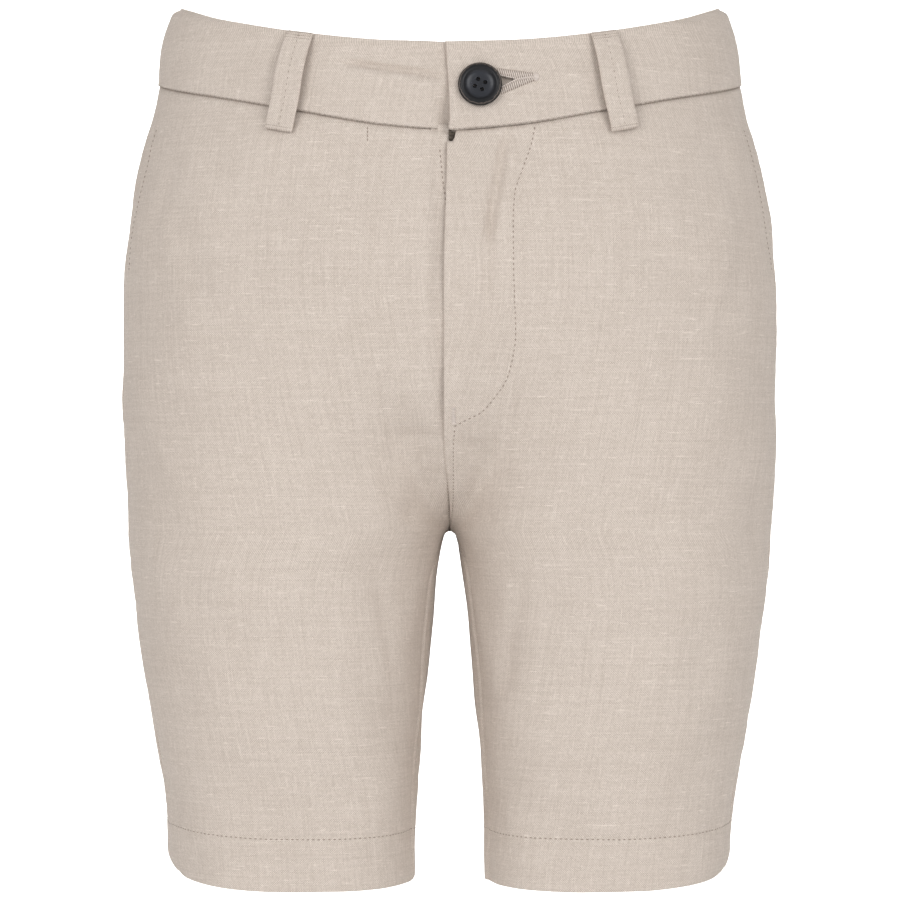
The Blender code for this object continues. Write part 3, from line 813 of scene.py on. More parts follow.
def noise_factor(nodes, links, vector, detail):
    """Noise with one cell for each unit of this vector, and its factor."""
    noise = nodes.new("ShaderNodeTexNoise")
    noise.inputs["Scale"].default_value = 1.0
    noise.inputs["Detail"].default_value = detail
    links.new(vector, noise.inputs["Vector"])
    return noise.outputs[0]


def stretched_noise(nodes, links, vector, cells, detail):
    """Noise whose cells have this size in metres along each axis, and its factor."""
    mapping = nodes.new("ShaderNodeMapping")
    mapping.inputs["Scale"].default_value = [1.0 / size for size in cells]
    links.new(vector, mapping.inputs["Vector"])
    return noise_factor(nodes, links, mapping.outputs["Vector"], detail)


def set_mixed_colour(nodes, links, shader, factor, dark, light):
    """The shader's colour, between a dark and a light one by this factor."""
    mix = nodes.new("ShaderNodeMix")
    mix.data_type = "RGBA"
    mix.clamp_factor = True
    mix.inputs["A"].default_value = (*dark, 1.0)
    mix.inputs["B"].default_value = (*light, 1.0)
    links.new(factor, mix.inputs["Factor"])
    links.new(mix.outputs["Result"], shader.inputs["Base Color"])


def set_bump(nodes, links, shader, height, strength, distance):
    """A bump from this height, on the shader's normal."""
    bump = nodes.new("ShaderNodeBump")
    bump.inputs["Strength"].default_value = strength
    bump.inputs["Distance"].default_value = distance
    links.new(height, bump.inputs["Height"])
    links.new(bump.outputs["Normal"], shader.inputs["Normal"])


def set_sheen(shader, weight, roughness, tint):
    """Sheen straight on the shader's sockets."""
    shader.inputs["Sheen Weight"].default_value = weight
    shader.inputs["Sheen Roughness"].default_value = roughness
    shader.inputs["Sheen Tint"].default_value = (*tint, 1.0)


print("node helpers are ready")

# %% The woven finish
THREAD = 0.00046
LINEN_DARK = (0.430, 0.362, 0.308)
LINEN_LIGHT = (0.690, 0.612, 0.548)
# Metres over which a thread's tone changes: slowly, faster, and over a single slub.
TONE_LENGTHS = (0.060, 0.012, 0.0060)
CLOUD_SIZE = (0.040, 0.032, 1.0)
# How much each of these moves the tone between dark and light: the slow and the faster change
# along a thread, the slubs, the weave itself, each crossing, and the clouds.
SLOW_SHARE, FAST_SHARE, SLUB_SHARE = 0.6, 0.5, 1.4
WEAVE_SHARE, GRAIN_SHARE, CLOUD_SHARE = 0.50, 0.36, 0.16


def thread_tones(nodes, links, along, across, thread, lengths):
    """Noise that keeps one value across a thread and changes slowly along it.

    The thread's number is floor(across / thread). It is stretched far apart in the noise, so
    that neighbours have nothing in common, and each length gives one factor.
    """
    op = maths(nodes, links)
    number = op("FLOOR", op("MULTIPLY", across, 1.0 / thread))
    factors = []
    for order, length in enumerate(lengths):
        place = nodes.new("ShaderNodeCombineXYZ")
        links.new(op("MULTIPLY", along, 1.0 / length), place.inputs["X"])
        links.new(op("MULTIPLY", number, 3.71), place.inputs["Y"])
        place.inputs["Z"].default_value = 11.3 * order
        factors.append(noise_factor(nodes, links, place.outputs[0], 0.5))
    return factors


def woven(name, dark, light, thread=THREAD, slubs=1.0):
    """Plain weave of uneven threads.

    Where sin(pi u / p) sin(pi v / p) is above 0 the warp lies on top, elsewhere the weft. Each
    thread has its own tone, long and short, and a slub where its noise is highest, and each
    crossing differs a little. The tone mixes a dark and a light colour, and the height of the
    threads makes the bump.
    """
    made, nodes, links, shader = new_material(name, 0.92)
    coordinates = nodes.new("ShaderNodeUVMap")
    coordinates.uv_map = "cloth"
    parts = nodes.new("ShaderNodeSeparateXYZ")
    links.new(coordinates.outputs["UV"], parts.inputs[0])
    u, v = parts.outputs["X"], parts.outputs["Y"]
    op = maths(nodes, links)

    def around_zero(factor, share):
        """A factor from 0 to 1, as a change of this size around zero."""
        return op("MULTIPLY_ADD", factor, share, -share / 2)

    def yarn(along, across):
        """Tone and slubs of one system of threads."""
        slow, fast, short = thread_tones(nodes, links, along, across, thread, TONE_LENGTHS)
        slub = op("SMOOTH_MAX", op("MULTIPLY_ADD", short, 3.4, -2.32), 0.0, 0.05)
        tone = op("ADD", around_zero(slow, SLOW_SHARE), around_zero(fast, FAST_SHARE))
        return op("MULTIPLY_ADD", slub, SLUB_SHARE, tone), slub

    warp_tone, warp_slub = yarn(v, u)
    weft_tone, weft_slub = yarn(u, v)
    across_warp = op("SINE", op("MULTIPLY", u, math.pi / thread))
    across_weft = op("SINE", op("MULTIPLY", v, math.pi / thread))
    weave = op("MULTIPLY", across_warp, across_weft)
    on_top = op("MULTIPLY_ADD", weave, 0.45, 0.5)
    below = op("SUBTRACT", 1.0, on_top)
    tone = op("ADD", op("MULTIPLY", warp_tone, on_top), op("MULTIPLY", weft_tone, below))
    cloud = stretched_noise(nodes, links, coordinates.outputs["UV"], CLOUD_SIZE, 3.0)
    crossing = nodes.new("ShaderNodeCombineXYZ")
    links.new(op("FLOOR", op("MULTIPLY", u, 1.0 / thread)), crossing.inputs["X"])
    links.new(op("FLOOR", op("MULTIPLY", v, 1.0 / thread)), crossing.inputs["Y"])
    grain = nodes.new("ShaderNodeTexWhiteNoise")
    grain.noise_dimensions = "2D"
    links.new(crossing.outputs[0], grain.inputs["Vector"])
    total = op("MULTIPLY_ADD", tone, 1.1 * slubs, 0.5)
    total = op("ADD", total, op("MULTIPLY", weave, WEAVE_SHARE))
    total = op("ADD", total, around_zero(grain.outputs["Value"], GRAIN_SHARE))
    total = op("ADD", total, around_zero(cloud, CLOUD_SHARE * slubs))
    set_mixed_colour(nodes, links, shader, total, dark, light)
    height = op("ADD", op("ABSOLUTE", weave), op("MULTIPLY", op("ADD", warp_slub, weft_slub), 0.8))
    set_bump(nodes, links, shader, height, 0.35, 0.00012)
    set_sheen(shader, 0.05, 0.5, (1.0, 0.97, 0.93))
    shader.inputs["Specular IOR Level"].default_value = 0.2
    return made


linen = woven("linen", LINEN_DARK, LINEN_LIGHT)
print("linen has", len(linen.node_tree.nodes), "nodes and threads", 1000 * THREAD, "mm apart")

# %% [markdown]
# ## Fronts and backs
# Four panels make the shorts: two fronts and two backs, joined at the outseams, the inseams and
# the middle. Each is a separate sheet, cut with turnings, and its hem is folded up inside the
# leg. The top edge runs on under the waistband, which is why it has a short upstand instead of
# a bend.

# %% The four panels
# Depth and rise of each row of the upstand, from its edge down.
UPSTAND = ((0.95, 3.2), (0.80, 1.4), (0.45, 0.5))
HEM_TURNING, HEM_TURNED_DEPTH = HEM_DEPTH + 1.5, 1.25


def panel_sheet(name, grid):
    """A panel's face with its seams and hem turned under, and its top edge tucked up."""
    from_side = run_length(grid, 1, 0)[TORSO_ROWS]
    columns = folded_line(
        grid.shape[1],
        turned(from_side, SEAM_TURNING, skip=2),
        turned(from_side[-1] - from_side[::-1], SEAM_TURNING, skip=2),
    )
    down = run_length(grid, 0, 0)[:, MIDDLE_COLUMN]
    above_hem = down[-1] - down[::-1]
    rows = folded_line(grid.shape[0], None, turned(above_hem, HEM_TURNING, HEM_TURNED_DEPTH))
    sheet = folded_grid(grid, rows, columns)
    # The middle seam meets its other half: no edge stays short of the middle plane.
    short = np.clip(sheet[..., 0].min(axis=1, keepdims=True) + 0.02, 0, 0.6)
    short = short * (sheet[:, MIDDLE_COLUMN, None, 2] > CROTCH)
    sheet[..., 0] -= short * np.exp(-np.abs(sheet[..., 0]) / 1.5)
    normal, _, down = directions(sheet)
    upright = np.ones((sheet.shape[1], 1))
    if name == "front_left":
        upright -= notch(sheet[0, :, :1]) / NOTCH_DROP
    tuck = [sheet[0] - normal[0] * depth - down[0] * up * upright for depth, up in UPSTAND]
    return np.concatenate([tuck, sheet])


cloth = {}
for name in PANELS:
    side = 1 if name.endswith("left") else -1
    cloth[name] = add_cloth(name + "_cloth", panel_sheet(name, faces[name]), side, linen)
    print(name, len(cloth[name].data.polygons), "quads in one layer")

# %% [markdown]
# ## Waistband
# The waistband is one strip of linen for each half, folded double along its top edge, and the
# halves are joined behind. It could be a solid ring, but then its top would look cast. Here the
# strip is a sheet whose cross section goes up the outside, over a small roll and down the
# inside. The left end lies over the right one in front. A buttonhole is a slit through both
# layers, pulled open where the button sits.

# %% Outward direction of the skin
BAND_PROUD = 0.6


def skin_normal(angle, height):
    """Outward normal of the body ring, from small steps round it and up it."""
    around = torso(angle + 0.05, height) - torso(angle - 0.05, height)
    up = torso(angle, height + 0.05) - torso(angle, height - 0.05)
    return unit(np.cross(around, -up))


def angle_at(x, height):
    """Angle of the front of the body ring at this distance from the middle plane."""
    share = power(np.asarray(x, float) / section("outer", height), section("square", height) / 2)
    return np.degrees(np.arccos(share))


middle_out = skin_normal(np.array(89.0), np.array(-9.0))
print("outwards at the middle of the front:", np.round(middle_out, 2))

# %% Cross section of the waistband
BAND_ROLL, ROLL_STEPS = 0.85, 7
BAND_CROWN = 0.22
# Rise and depth of each row of the tuck under the lower edge, from inside out.
BAND_TUCK = ((3.0, 0.55), (0.9, 0.50), (0.15, 0.42))
BAND_COLUMNS, BAND_ROWS = 300, 40
BAND_CROWDING = 0.7
BAND_UNDERLAP = 30.0
BAND_LIFT, BAND_SINK = 0.7, 1.5
BAND_FADE, BAND_SINK_FADE = (30.0, 46.0), (3.0, 15.0)
BAND_SIDE, BAND_BULGE, BAND_TOP_ROLL = (86.0, 108.0), 1.1, 2.6
TOP_FROM, TOP_SPAN = 0.9, 0.1
BAND_PUCKER, BAND_PUCKER_PERIOD, BAND_PUCKER_FADE = 0.07, 9.0, 5.0
BAND_SLACK, BAND_SLACK_LENGTH = 0.25, 19.0
# The two ends in front: how they are rounded, how the upper one leans and lifts low down, and
# how the lower one sinks there.
END_ROUNDING = 0.8
END_LEAN, END_LEAN_SPAN, END_LEAN_REACH = (0.1, 2.3), (-20.0, 24.0), 6.0
LOW_SPAN = (6.0, 24.0)
END_LIFT, END_LIFT_REACH = 1.4, 7.0
UNDER_SINK, UNDER_AT, UNDER_REACH = 2.2, 1.0, 3.5
# One row for each crease of the waistband: half (1 is the left), its two ends as X and height,
# half width and depth.
BAND_CREASES = (
    (-1, 45.0, 1.6, 2.0, -5.0, 1.3, 2.20),
    (-1, 43.0, -3.0, 5.0, -8.8, 2.6, -0.90),
    (-1, 30.0, -9.0, 10.0, -17.0, 3.0, 0.35),
    (1, 56.0, 8.0, 34.0, 6.0, 3.0, 0.35),
    (1, 50.0, -8.0, 30.0, -14.0, 3.5, 0.35),
)


def band_creases(points, side):
    """Depth of the creases of one half, as for a panel, but with d measured in front view."""
    total = np.zeros(points.shape[:2])
    for half, x1, z1, x2, z2, half_width, depth in BAND_CREASES:
        if half != side:
            continue
        right, up = points[..., 0] - x1, points[..., 2] - z1
        run = np.array([x2 - x1, z2 - z1])
        t = np.clip((right * run[0] + up * run[1]) / (run @ run), 0, 1)
        apart = np.hypot(right - t * run[0], up - t * run[1])
        fade = 1 - CREASE_FADE * (2 * t - 1) ** 4
        total += depth * np.exp(-((apart / half_width) ** 2)) * fade
    return total * (points[..., 1] < 0)


def band_profile():
    """Cross section from the lower outer edge, up, over the roll and down inside.

    Returns the share of the height, the distance above that share in mm and the depth in mm.
    """
    tuck_rise, tuck_depth = np.array(BAND_TUCK).T
    up = np.linspace(0, 1, BAND_ROWS)
    roll = np.radians(np.linspace(0, 180, ROLL_STEPS + 2))[1:-1]
    share = np.concatenate([0 * tuck_rise, up, np.ones(ROLL_STEPS), up[::-1]])
    rise = np.concatenate([tuck_rise, 0 * up, BAND_ROLL * np.sin(roll), 0 * up])
    rise = rise - BAND_ROLL * share
    outer = np.where(up > 0, -BAND_CROWN * np.sin(np.pi * up) ** 0.8, BAND_CROWN)
    over = BAND_ROLL * (1 - np.cos(roll))
    depth = np.concatenate([tuck_depth, outer, over, np.full(BAND_ROWS, 2 * BAND_ROLL)])
    return share, rise, depth


def band_sheet(past, side):
    """Half a waistband as a folded sheet, from the middle behind to this far past the front."""
    end = float(angle_at(-past, 0.0))
    gaps = (SEAM_GAP / 2, 0.0)
    angles = spaced_angles(torso, -90.0, end, 0.0, crowded(BAND_COLUMNS, BAND_CROWDING), gaps)
    share, rise, depth = band_profile()
    seam, top = waist("seam", angles) + SEAM_GAP / 2, waist("top", angles)
    height = seam + (top - seam) * share[:, None] + rise[:, None]
    points, normal = torso(angles, height), skin_normal(angles[None] + 0 * height, height)
    run = run_length(points, 1, 0)[BAND_ROWS // 2]
    from_end = run[-1] - run
    # Both layers meet at the middle of the band's thickness where an end is sewn shut.
    closed = np.sqrt(np.clip(1 - (1 - np.clip(from_end / END_ROUNDING, 0, 1)) ** 2, 0, 1))
    depth = BAND_ROLL + (depth[:, None] - BAND_ROLL) * closed
    waves = BAND_PUCKER * pucker(run, BAND_PUCKER_PERIOD)
    waves = waves * np.exp(-BAND_PUCKER_FADE * share)[:, None]
    slack = BAND_SLACK * np.sin(run / BAND_SLACK_LENGTH + side) * np.sin(np.pi * share)[:, None]
    moved = BAND_PROUD - depth + waves + slack * closed - band_creases(points, side)
    # At the sides, the band bulges a little and its top rolls in.
    at_side = smooth_step(np.abs(points[..., 0]), *BAND_SIDE)
    bulge = BAND_BULGE * np.sin(np.pi * np.clip(share, 0, 1)) ** 1.5
    rolled = BAND_TOP_ROLL * np.clip((share - TOP_FROM) / TOP_SPAN, 0, 1) ** 2
    moved += at_side * (bulge - rolled)[:, None]
    points = points + normal * moved[..., None]
    in_front = points[..., 1] < 0
    low = smooth_step(-points[..., 2], *LOW_SPAN)
    if side == 1:
        lift = BAND_LIFT * (1 - smooth_step(points[..., 0], *BAND_FADE))
        lift = lift + END_LIFT * np.exp(-((from_end / END_LIFT_REACH) ** 2)) * low
        # The end leans: it passes the middle less at its foot than at its top.
        leaning = smooth_step(-points[..., 2], *END_LEAN_SPAN)
        leaning = END_LEAN[0] + (END_LEAN[1] - END_LEAN[0]) * leaning
        points[..., 0] += leaning * np.exp(-from_end / END_LEAN_REACH) * in_front
    else:
        # The end underneath lies deeper, and most of all low down, where the edges meet.
        lift = -BAND_SINK * (1 - smooth_step(points[..., 0], *BAND_SINK_FADE))
        under = np.exp(-(((points[..., 0] - UNDER_AT) / UNDER_REACH) ** 2))
        lift = lift - UNDER_SINK * low * under
    points[..., 1] -= lift * in_front
    # Upside down, so that rows run down the outside and the faces point outwards.
    return points[::-1]


band_faces = {
    "waistband_left": band_sheet(FLY_LAP, 1),
    "waistband_right": band_sheet(BAND_UNDERLAP, -1),
}
print("grid of the left waistband:", band_faces["waistband_left"].shape[:2])

# %% Buttonhole and the two halves
BUTTON_X, BUTTON_HEIGHT = 12.2, -9.0
BUTTONHOLE_TILT, BUTTONHOLE_RISE = 8.0, 0.8
BUTTONHOLE_LENGTH = 22.6
GAPE_SLOPE, GAPE_LENGTH = 0.36, 14.8
GAPE_LEAST, GAPE_GROWTH = 0.10, 8.5
SLIT_START, SLIT_MARGIN = -2.0, 1.0


def along_slit(x, z):
    """Distance along the buttonhole from the button's middle, and distance above its line."""
    tilt = math.radians(BUTTONHOLE_TILT)
    right, up = x - BUTTON_X, z - BUTTON_HEIGHT - BUTTONHOLE_RISE
    along = right * math.cos(tilt) + up * math.sin(tilt)
    return along, up * math.cos(tilt) - right * math.sin(tilt)


def slit_half(along):
    """Half the opening: a wedge that closes at the far end, slope (l - s), under a limit."""
    return GAPE_LEAST + GAPE_SLOPE * np.clip(GAPE_LENGTH - np.abs(along), 0, GAPE_GROWTH)


def outside_slit(grid):
    """Which quads of the left waistband stay when the buttonhole is cut through its layers."""
    middle = (grid[:-1, :-1] + grid[1:, 1:]) / 2
    along, above = along_slit(middle[..., 0], middle[..., 2])
    inside = (along > SLIT_START) & (along < BUTTONHOLE_LENGTH - SLIT_MARGIN)
    inside &= (np.abs(above) < slit_half(along)) & (middle[..., 1] < 0)
    return ~inside


for name, side in (("waistband_left", 1), ("waistband_right", -1)):
    face = band_faces[name]
    keep = outside_slit(face) if side == 1 else None
    cloth[name] = add_cloth(name + "_cloth", face, side, linen, keep=keep)
    print(name, len(cloth[name].data.polygons), "quads")

# %% [markdown]
# ## Belt loops
# A belt loop is a narrow strip folded in three, so it is thick, with soft rolled sides. It is
# sewn down at the top edge of the band and again below the waist seam, and bows out between,
# where the belt goes. The strip is a closed form: a flat superellipse carried along the
# loop's path and closed at both ends.

# %% Belt loops
LOOP_WIDTH, LOOP_CLOTH = 11.0, 1.6
LOOP_STANDOFF, LOOP_BOW = 3.2, 0.7
LOOP_BELOW_SEAM = 9.5
LOOP_END_SHARE, LOOP_END_WIDTH = 0.016, 0.9
LOOP_DIP, LOOP_DIP_WIDTH, LOOP_FLARE = 0.16, 0.9, 0.25
# Name, half (1 is the left), whether it is behind, and X at its top and at its foot.
LOOPS = (
    ("belt_loop_front_left", 1, False, 63.4, 67.0),
    ("belt_loop_front_right", -1, False, 62.0, 65.7),
    ("belt_loop_back_left", 1, True, 66.0, 70.0),
    ("belt_loop_back_right", -1, True, 66.0, 70.0),
    ("belt_loop_back_centre", 1, True, 0.0, 0.0),
)
LOOP_ROWS, LOOP_ROUND = 72, 36


def loop_line(behind, top_x, foot_x, across, along):
    """Points on the band under a loop, and their outward normals, without its bow."""
    x = top_x + (foot_x - top_x) * along + across * (-1 if behind else 1)
    angle = angle_at(np.abs(x), 0.0)
    angle = np.where(x < 0, 180.0 - angle, angle) * (-1 if behind else 1)
    top = waist("top", angle) - SEAM_GAP
    foot = waist("seam", angle) - LOOP_BELOW_SEAM
    height = top + (foot - top) * along
    return torso(angle, height), skin_normal(angle, height)


def loop_wander(t, top_x):
    """How far a loop's middle wanders sideways, because no hand sews it quite straight."""
    return 0.18 * np.sin(7.0 * t + top_x)


def loop_bow(t):
    """How far a loop stands off the band: standoff sin(pi t)^0.7."""
    return LOOP_STANDOFF * np.sin(np.pi * t) ** LOOP_BOW


def loop_form(behind, top_x, foot_x):
    """Closed strip: across = a cos^0.4, thickness = b sin^0.7, standing off by its bow.

    Its ends shrink to a line over a short distance, like folded cloth, and a slight dip runs
    down its middle where it is stitched.
    """
    t = np.linspace(0, 1, LOOP_ROWS)[:, None]
    turn = np.linspace(0, 2 * np.pi, LOOP_ROUND + 1)[None, :]
    end = np.clip(np.minimum(t, 1 - t) / LOOP_END_SHARE, 0, 1)
    end = np.sqrt(np.clip(1 - (1 - end) ** 2, 0, 1))
    narrowed = LOOP_END_WIDTH + (1 - LOOP_END_WIDTH) * end
    across = LOOP_WIDTH / 2 * power(np.cos(turn), 0.4) * narrowed + loop_wander(t, top_x)
    thick = LOOP_CLOTH / 2 * power(np.sin(turn), 0.7) * end
    dip = LOOP_DIP * np.exp(-((across / LOOP_DIP_WIDTH) ** 2)) * (thick > 0)
    points, normal = loop_line(behind, top_x, foot_x, across, t + 0 * turn)
    flare = LOOP_FLARE * np.sin(np.pi * t) * (across / (LOOP_WIDTH / 2)) ** 2
    out = BAND_PROUD + SEAM_GAP + LOOP_CLOTH / 2 + loop_bow(t) + thick - dip + flare
    return points + normal * out[..., None]


loops = {}
for name, side, behind, top_x, foot_x in LOOPS:
    form = loop_form(behind, top_x, foot_x)
    loops[name] = add_piece(name + "_strip", grid_mesh(name + "_strip", form, side), linen)
    closing = loops[name].modifiers.new("closed", "WELD")
    closing.merge_threshold = 0.00001
    print(name, "is", round(float(np.ptp(form[..., 2])), 1), "mm long")

# %% [markdown]
# ## Pocket bags and zip
# Inside each front hangs a pocket bag of thin, pale cotton, sewn in at the waist seam and the
# side seam. Behind the fly lies the zip: a woven tape with two rows of small metal teeth, a
# slider at its top and, above it, the small stop that shows at the corner of the fly.

# %% Pocketing and pocket bags
POCKET_BELOW_SEAM = 1.5
POCKET_SIDE, POCKET_BELLY = -104.0, 44.0
POCKET_FROM, POCKET_TO = 9.0, 62.0
POCKET_DEPTH = 1.6
POCKET_ROUND = 0.62
POCKET_SLACK, POCKET_SWELL, POCKET_SLACK_SPAN = 0.8, 1.6, (8.0, 60.0)
POCKET_PLY = 0.35
POCKET_GRID = (64, 48)
POCKETING_DARK, POCKETING_LIGHT = (0.52, 0.49, 0.44), (0.74, 0.71, 0.66)
POCKETING_THREAD, POCKETING_SLUBS = 0.0004, 0.5

pocketing = woven(
    "pocketing", POCKETING_DARK, POCKETING_LIGHT, POCKETING_THREAD, POCKETING_SLUBS
)


def pocket_sheet(seed):
    """Bag behind a front: level at the top, its foot half an ellipse, with a slack swell."""
    width = np.linspace(0, 1, POCKET_GRID[1])
    angles = spaced_angles(torso, POCKET_FROM, POCKET_TO, TORSO_SPACED_AT, width)
    top = waist("seam", angles) - POCKET_BELOW_SEAM
    low = POCKET_SIDE - POCKET_BELLY * np.sqrt(1 - ((width - 0.5) / POCKET_ROUND) ** 2)
    height = top + (low - top) * np.linspace(0, 1, POCKET_GRID[0])[:, None]
    points = torso(angles, height)
    normal = skin_normal(angles + 0 * height, height)
    slack = swell(run_length(points, 1, 0), run_length(points, 0, 0), seed)
    slack = np.clip(POCKET_SLACK + POCKET_SWELL * slack, 0.0, None)
    slack = slack * smooth_step(-height, *POCKET_SLACK_SPAN)
    return points - normal * (POCKET_DEPTH + slack)[..., None]


for seed, (name, side) in enumerate((("pocket_bag_left", 1), ("pocket_bag_right", -1))):
    cloth[name] = add_cloth(name + "_cloth", pocket_sheet(seed + 5), side, pocketing, POCKET_PLY)
    print(name, "hangs to", round(1000 * min(v.co.z for v in cloth[name].data.vertices), 1), "mm")

# %% Zip tape
ZIP_WIDTH, ZIP_TOP, ZIP_FOOT = 24.0, -29.0, -118.0
ZIP_INSET, SLIDER_ROOM = 3.2, 2.9
SLIDER_ROOM_FADE = (-49.0, -42.0)
TAPE_PLY = 0.5
TAPE_DARK, TAPE_LIGHT = (0.10, 0.075, 0.055), (0.20, 0.155, 0.12)
TAPE_THREAD, TAPE_SLUBS = 0.0007, 0.35

brown_tape = woven("zip_tape", TAPE_DARK, TAPE_LIGHT, TAPE_THREAD, TAPE_SLUBS)


def tape_points(x, height):
    """Points of the tape, behind the skin of the front and deeper where the slider is."""
    sides = np.where(x < 0, -1.0, 1.0)
    angle = angle_at(np.abs(x), height)
    points = torso(angle, height)
    points[..., 0] *= sides
    deeper = SLIDER_ROOM * smooth_step(points[..., 2], *SLIDER_ROOM_FADE)
    points[..., 1] += ZIP_INSET + deeper + TAPE_PLY
    return points


tape_x = np.linspace(-ZIP_WIDTH / 2, ZIP_WIDTH / 2, 33)[::-1]
tape_z = np.linspace(ZIP_TOP, ZIP_FOOT, 90)[:, None]
tape = tape_points(tape_x + 0 * tape_z, tape_z + 0 * tape_x)
cloth["zip_tape"] = add_cloth("zip_tape_cloth", tape, 1, brown_tape, TAPE_PLY)
print("zip tape", ZIP_WIDTH, "by", ZIP_TOP - ZIP_FOOT, "mm")

# %% [markdown]
# ## Small things made many times
# Stitches, zip teeth and the purls of the buttonhole are all one small bead, placed over and
# over. Separate objects would be slow, so one template of thirty-odd points is turned and moved
# by arrays and all its copies become a single mesh.

# %% Beads and how to place them
BEAD_RINGS, BEAD_SIDES = 5, 6


def bead(square=1.0, arch=0.0, rings=BEAD_RINGS, sides=BEAD_SIDES):
    """Unit superellipsoid along X as (points, faces): x = sin^s, radius = cos^s of the latitude.

    arch bends its ends down by arch x^2, as a stitch dips into the cloth.
    """
    latitude = np.radians(np.linspace(-78, 78, rings))[:, None]
    turn = np.linspace(0, 2 * np.pi, sides, endpoint=False)[None, :]
    radius = power(np.cos(latitude), square)
    x = power(np.sin(latitude), square) + 0 * turn
    y, z = radius * power(np.cos(turn), square), radius * power(np.sin(turn), square)
    points = np.stack([x, y, z - arch * x**2], axis=-1).reshape(-1, 3)
    index = np.arange(rings * sides).reshape(rings, sides)
    ahead = np.roll(index, -1, axis=1)
    quads = np.stack([index[:-1], ahead[:-1], ahead[1:], index[1:]], axis=-1).reshape(-1, 4)
    caps = [index[0, ::-1].tolist(), index[-1].tolist()]
    return points, quads.tolist() + caps


def placed(template, centres, along, outward, sizes):
    """Copies of a bead: centre + size * (along, sideways, outward), as (points, faces)."""
    points, faces_of_one = template
    along = unit(along)
    outward = unit(outward - along * np.sum(along * outward, axis=-1, keepdims=True))
    frames = np.stack([along, np.cross(outward, along), outward], axis=1)
    sized = points[None] * np.broadcast_to(sizes, (len(centres), 3))[:, None, :]
    made = centres[:, None] + np.einsum("mni,mij->mnj", sized, frames)
    faces_of_all = [
        [number * len(points) + corner for corner in face]
        for number in range(len(centres))
        for face in faces_of_one
    ]
    return made.reshape(-1, 3), faces_of_all


def joined_mesh(name, groups, side=1):
    """One mesh from several groups of (points, faces), in metres, mirrored for side -1."""
    points, joined, first = [], [], 0
    for group_points, group_faces in groups:
        points.append(group_points)
        joined += [[first + corner for corner in face][::side] for face in group_faces]
        first += len(group_points)
    mesh = bpy.data.meshes.new(name)
    mesh.from_pydata((np.concatenate(points) * MM * (side, 1, 1)).tolist(), [], joined)
    mesh.shade_smooth()
    return mesh


def thread_material(name, colour, roughness=0.65):
    """Spun thread: its colour, mottled by fine noise on the object's own coordinates."""
    made, nodes, links, shader = new_material(name, roughness)
    place = nodes.new("ShaderNodeTexCoord").outputs["Object"]
    factor = stretched_noise(nodes, links, place, (0.0007, 0.0007, 0.0007), 2.0)
    dark, light = [0.72 * c for c in colour], [min(1.25 * c, 1.0) for c in colour]
    set_mixed_colour(nodes, links, shader, factor, dark, light)
    set_bump(nodes, links, shader, factor, 0.4, 0.0001)
    set_sheen(shader, 0.15, 0.4, (1.0, 1.0, 1.0))
    return made


stitch_bead = bead(0.8, 0.35)
print("a stitch has", len(stitch_bead[0]), "points and", len(stitch_bead[1]), "faces")

# %% Zip teeth, stop and slider
TOOTH_PITCH = 1.55
TOOTH_SIZE = (1.5, 0.42, 0.75)
TOOTH_REACH, TOOTH_INSET = 1.05, 0.25
FIRST_TOOTH, LAST_TOOTH = ZIP_TOP - 11.0, ZIP_FOOT + 1.0
# The stop is two links, one above the other: their X, heights, inset and half sizes.
STOP_X, STOP_HEIGHTS, STOP_INSET = 0.95, (-28.65, -30.45), 0.7
STOP_LEVEL = -29.2
STOP_SIZE = (1.5, 0.95, 0.4)
METAL_BROWN = (0.062, 0.050, 0.040)


def brown_metal(name, colour, roughness):
    """Old brass: brown metal whose tone changes with slow noise."""
    made, nodes, links, shader = new_material(name, roughness, 0.85)
    place = nodes.new("ShaderNodeTexCoord").outputs["Object"]
    factor = stretched_noise(nodes, links, place, (0.002, 0.002, 0.002), 3.0)
    dark, light = [0.55 * c for c in colour], [1.6 * c for c in colour]
    set_mixed_colour(nodes, links, shader, factor, dark, light)
    return made


metal = brown_metal("brown_metal", METAL_BROWN, 0.45)
tooth_z = np.arange(FIRST_TOOTH, LAST_TOOTH, -TOOTH_PITCH / 2)
tooth_side = np.where(np.arange(len(tooth_z)) % 2 == 0, 1.0, -1.0)
tooth_points = tape_points(0.2 + 0 * tooth_z, tooth_z) + np.array([0.0, TOOTH_INSET, 0.0])
tooth_points[:, 0] = TOOTH_REACH * tooth_side
stop_y = float(-section("front", STOP_LEVEL)) + STOP_INSET
stop_points = np.array([[STOP_X, stop_y, height] for height in STOP_HEIGHTS])


def metal_row(name, shape, places, sizes):
    """One piece of metal beads at these places, lying across the zip and facing forwards."""
    across, forward = 0 * places + (1.0, 0.0, 0.0), 0 * places + (0.0, -1.0, 0.0)
    beads = placed(shape, places, across, forward, sizes)
    return add_piece(name, joined_mesh(name, [beads]), metal)


zip_teeth = metal_row("zip_teeth", bead(0.35, 0.0, 5, 8), tooth_points, TOOTH_SIZE)
zip_stop = metal_row("zip_stop", bead(0.3, 0.0, 5, 12), stop_points, STOP_SIZE)
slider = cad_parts["zip_slider"]
slider.data.materials.clear()
slider.data.materials.append(metal)
print(len(tooth_z), "zip teeth")

# %% [markdown]
# ## Button
# The button is turned from dark, polished horn-like material: a raised rim with a fine lighter
# line, a dished face and four holes. A profile spun round the button's axis gives the form, the
# holes are cut through it, and rings of tone round the same axis give the line on the rim.

# %% Frame of the button
BAND_OUTSIDE = BAND_PROUD + BAND_LIFT
BUTTON_BACK, BUTTON_THICK = BAND_OUTSIDE + 0.5, 2.9
BUTTON_RADIUS = 9.0
HOLE_RING, HOLE_RADIUS, HOLE_TURN = 2.25, 0.86, 20.0
SLOPE_SPAN = 5.0

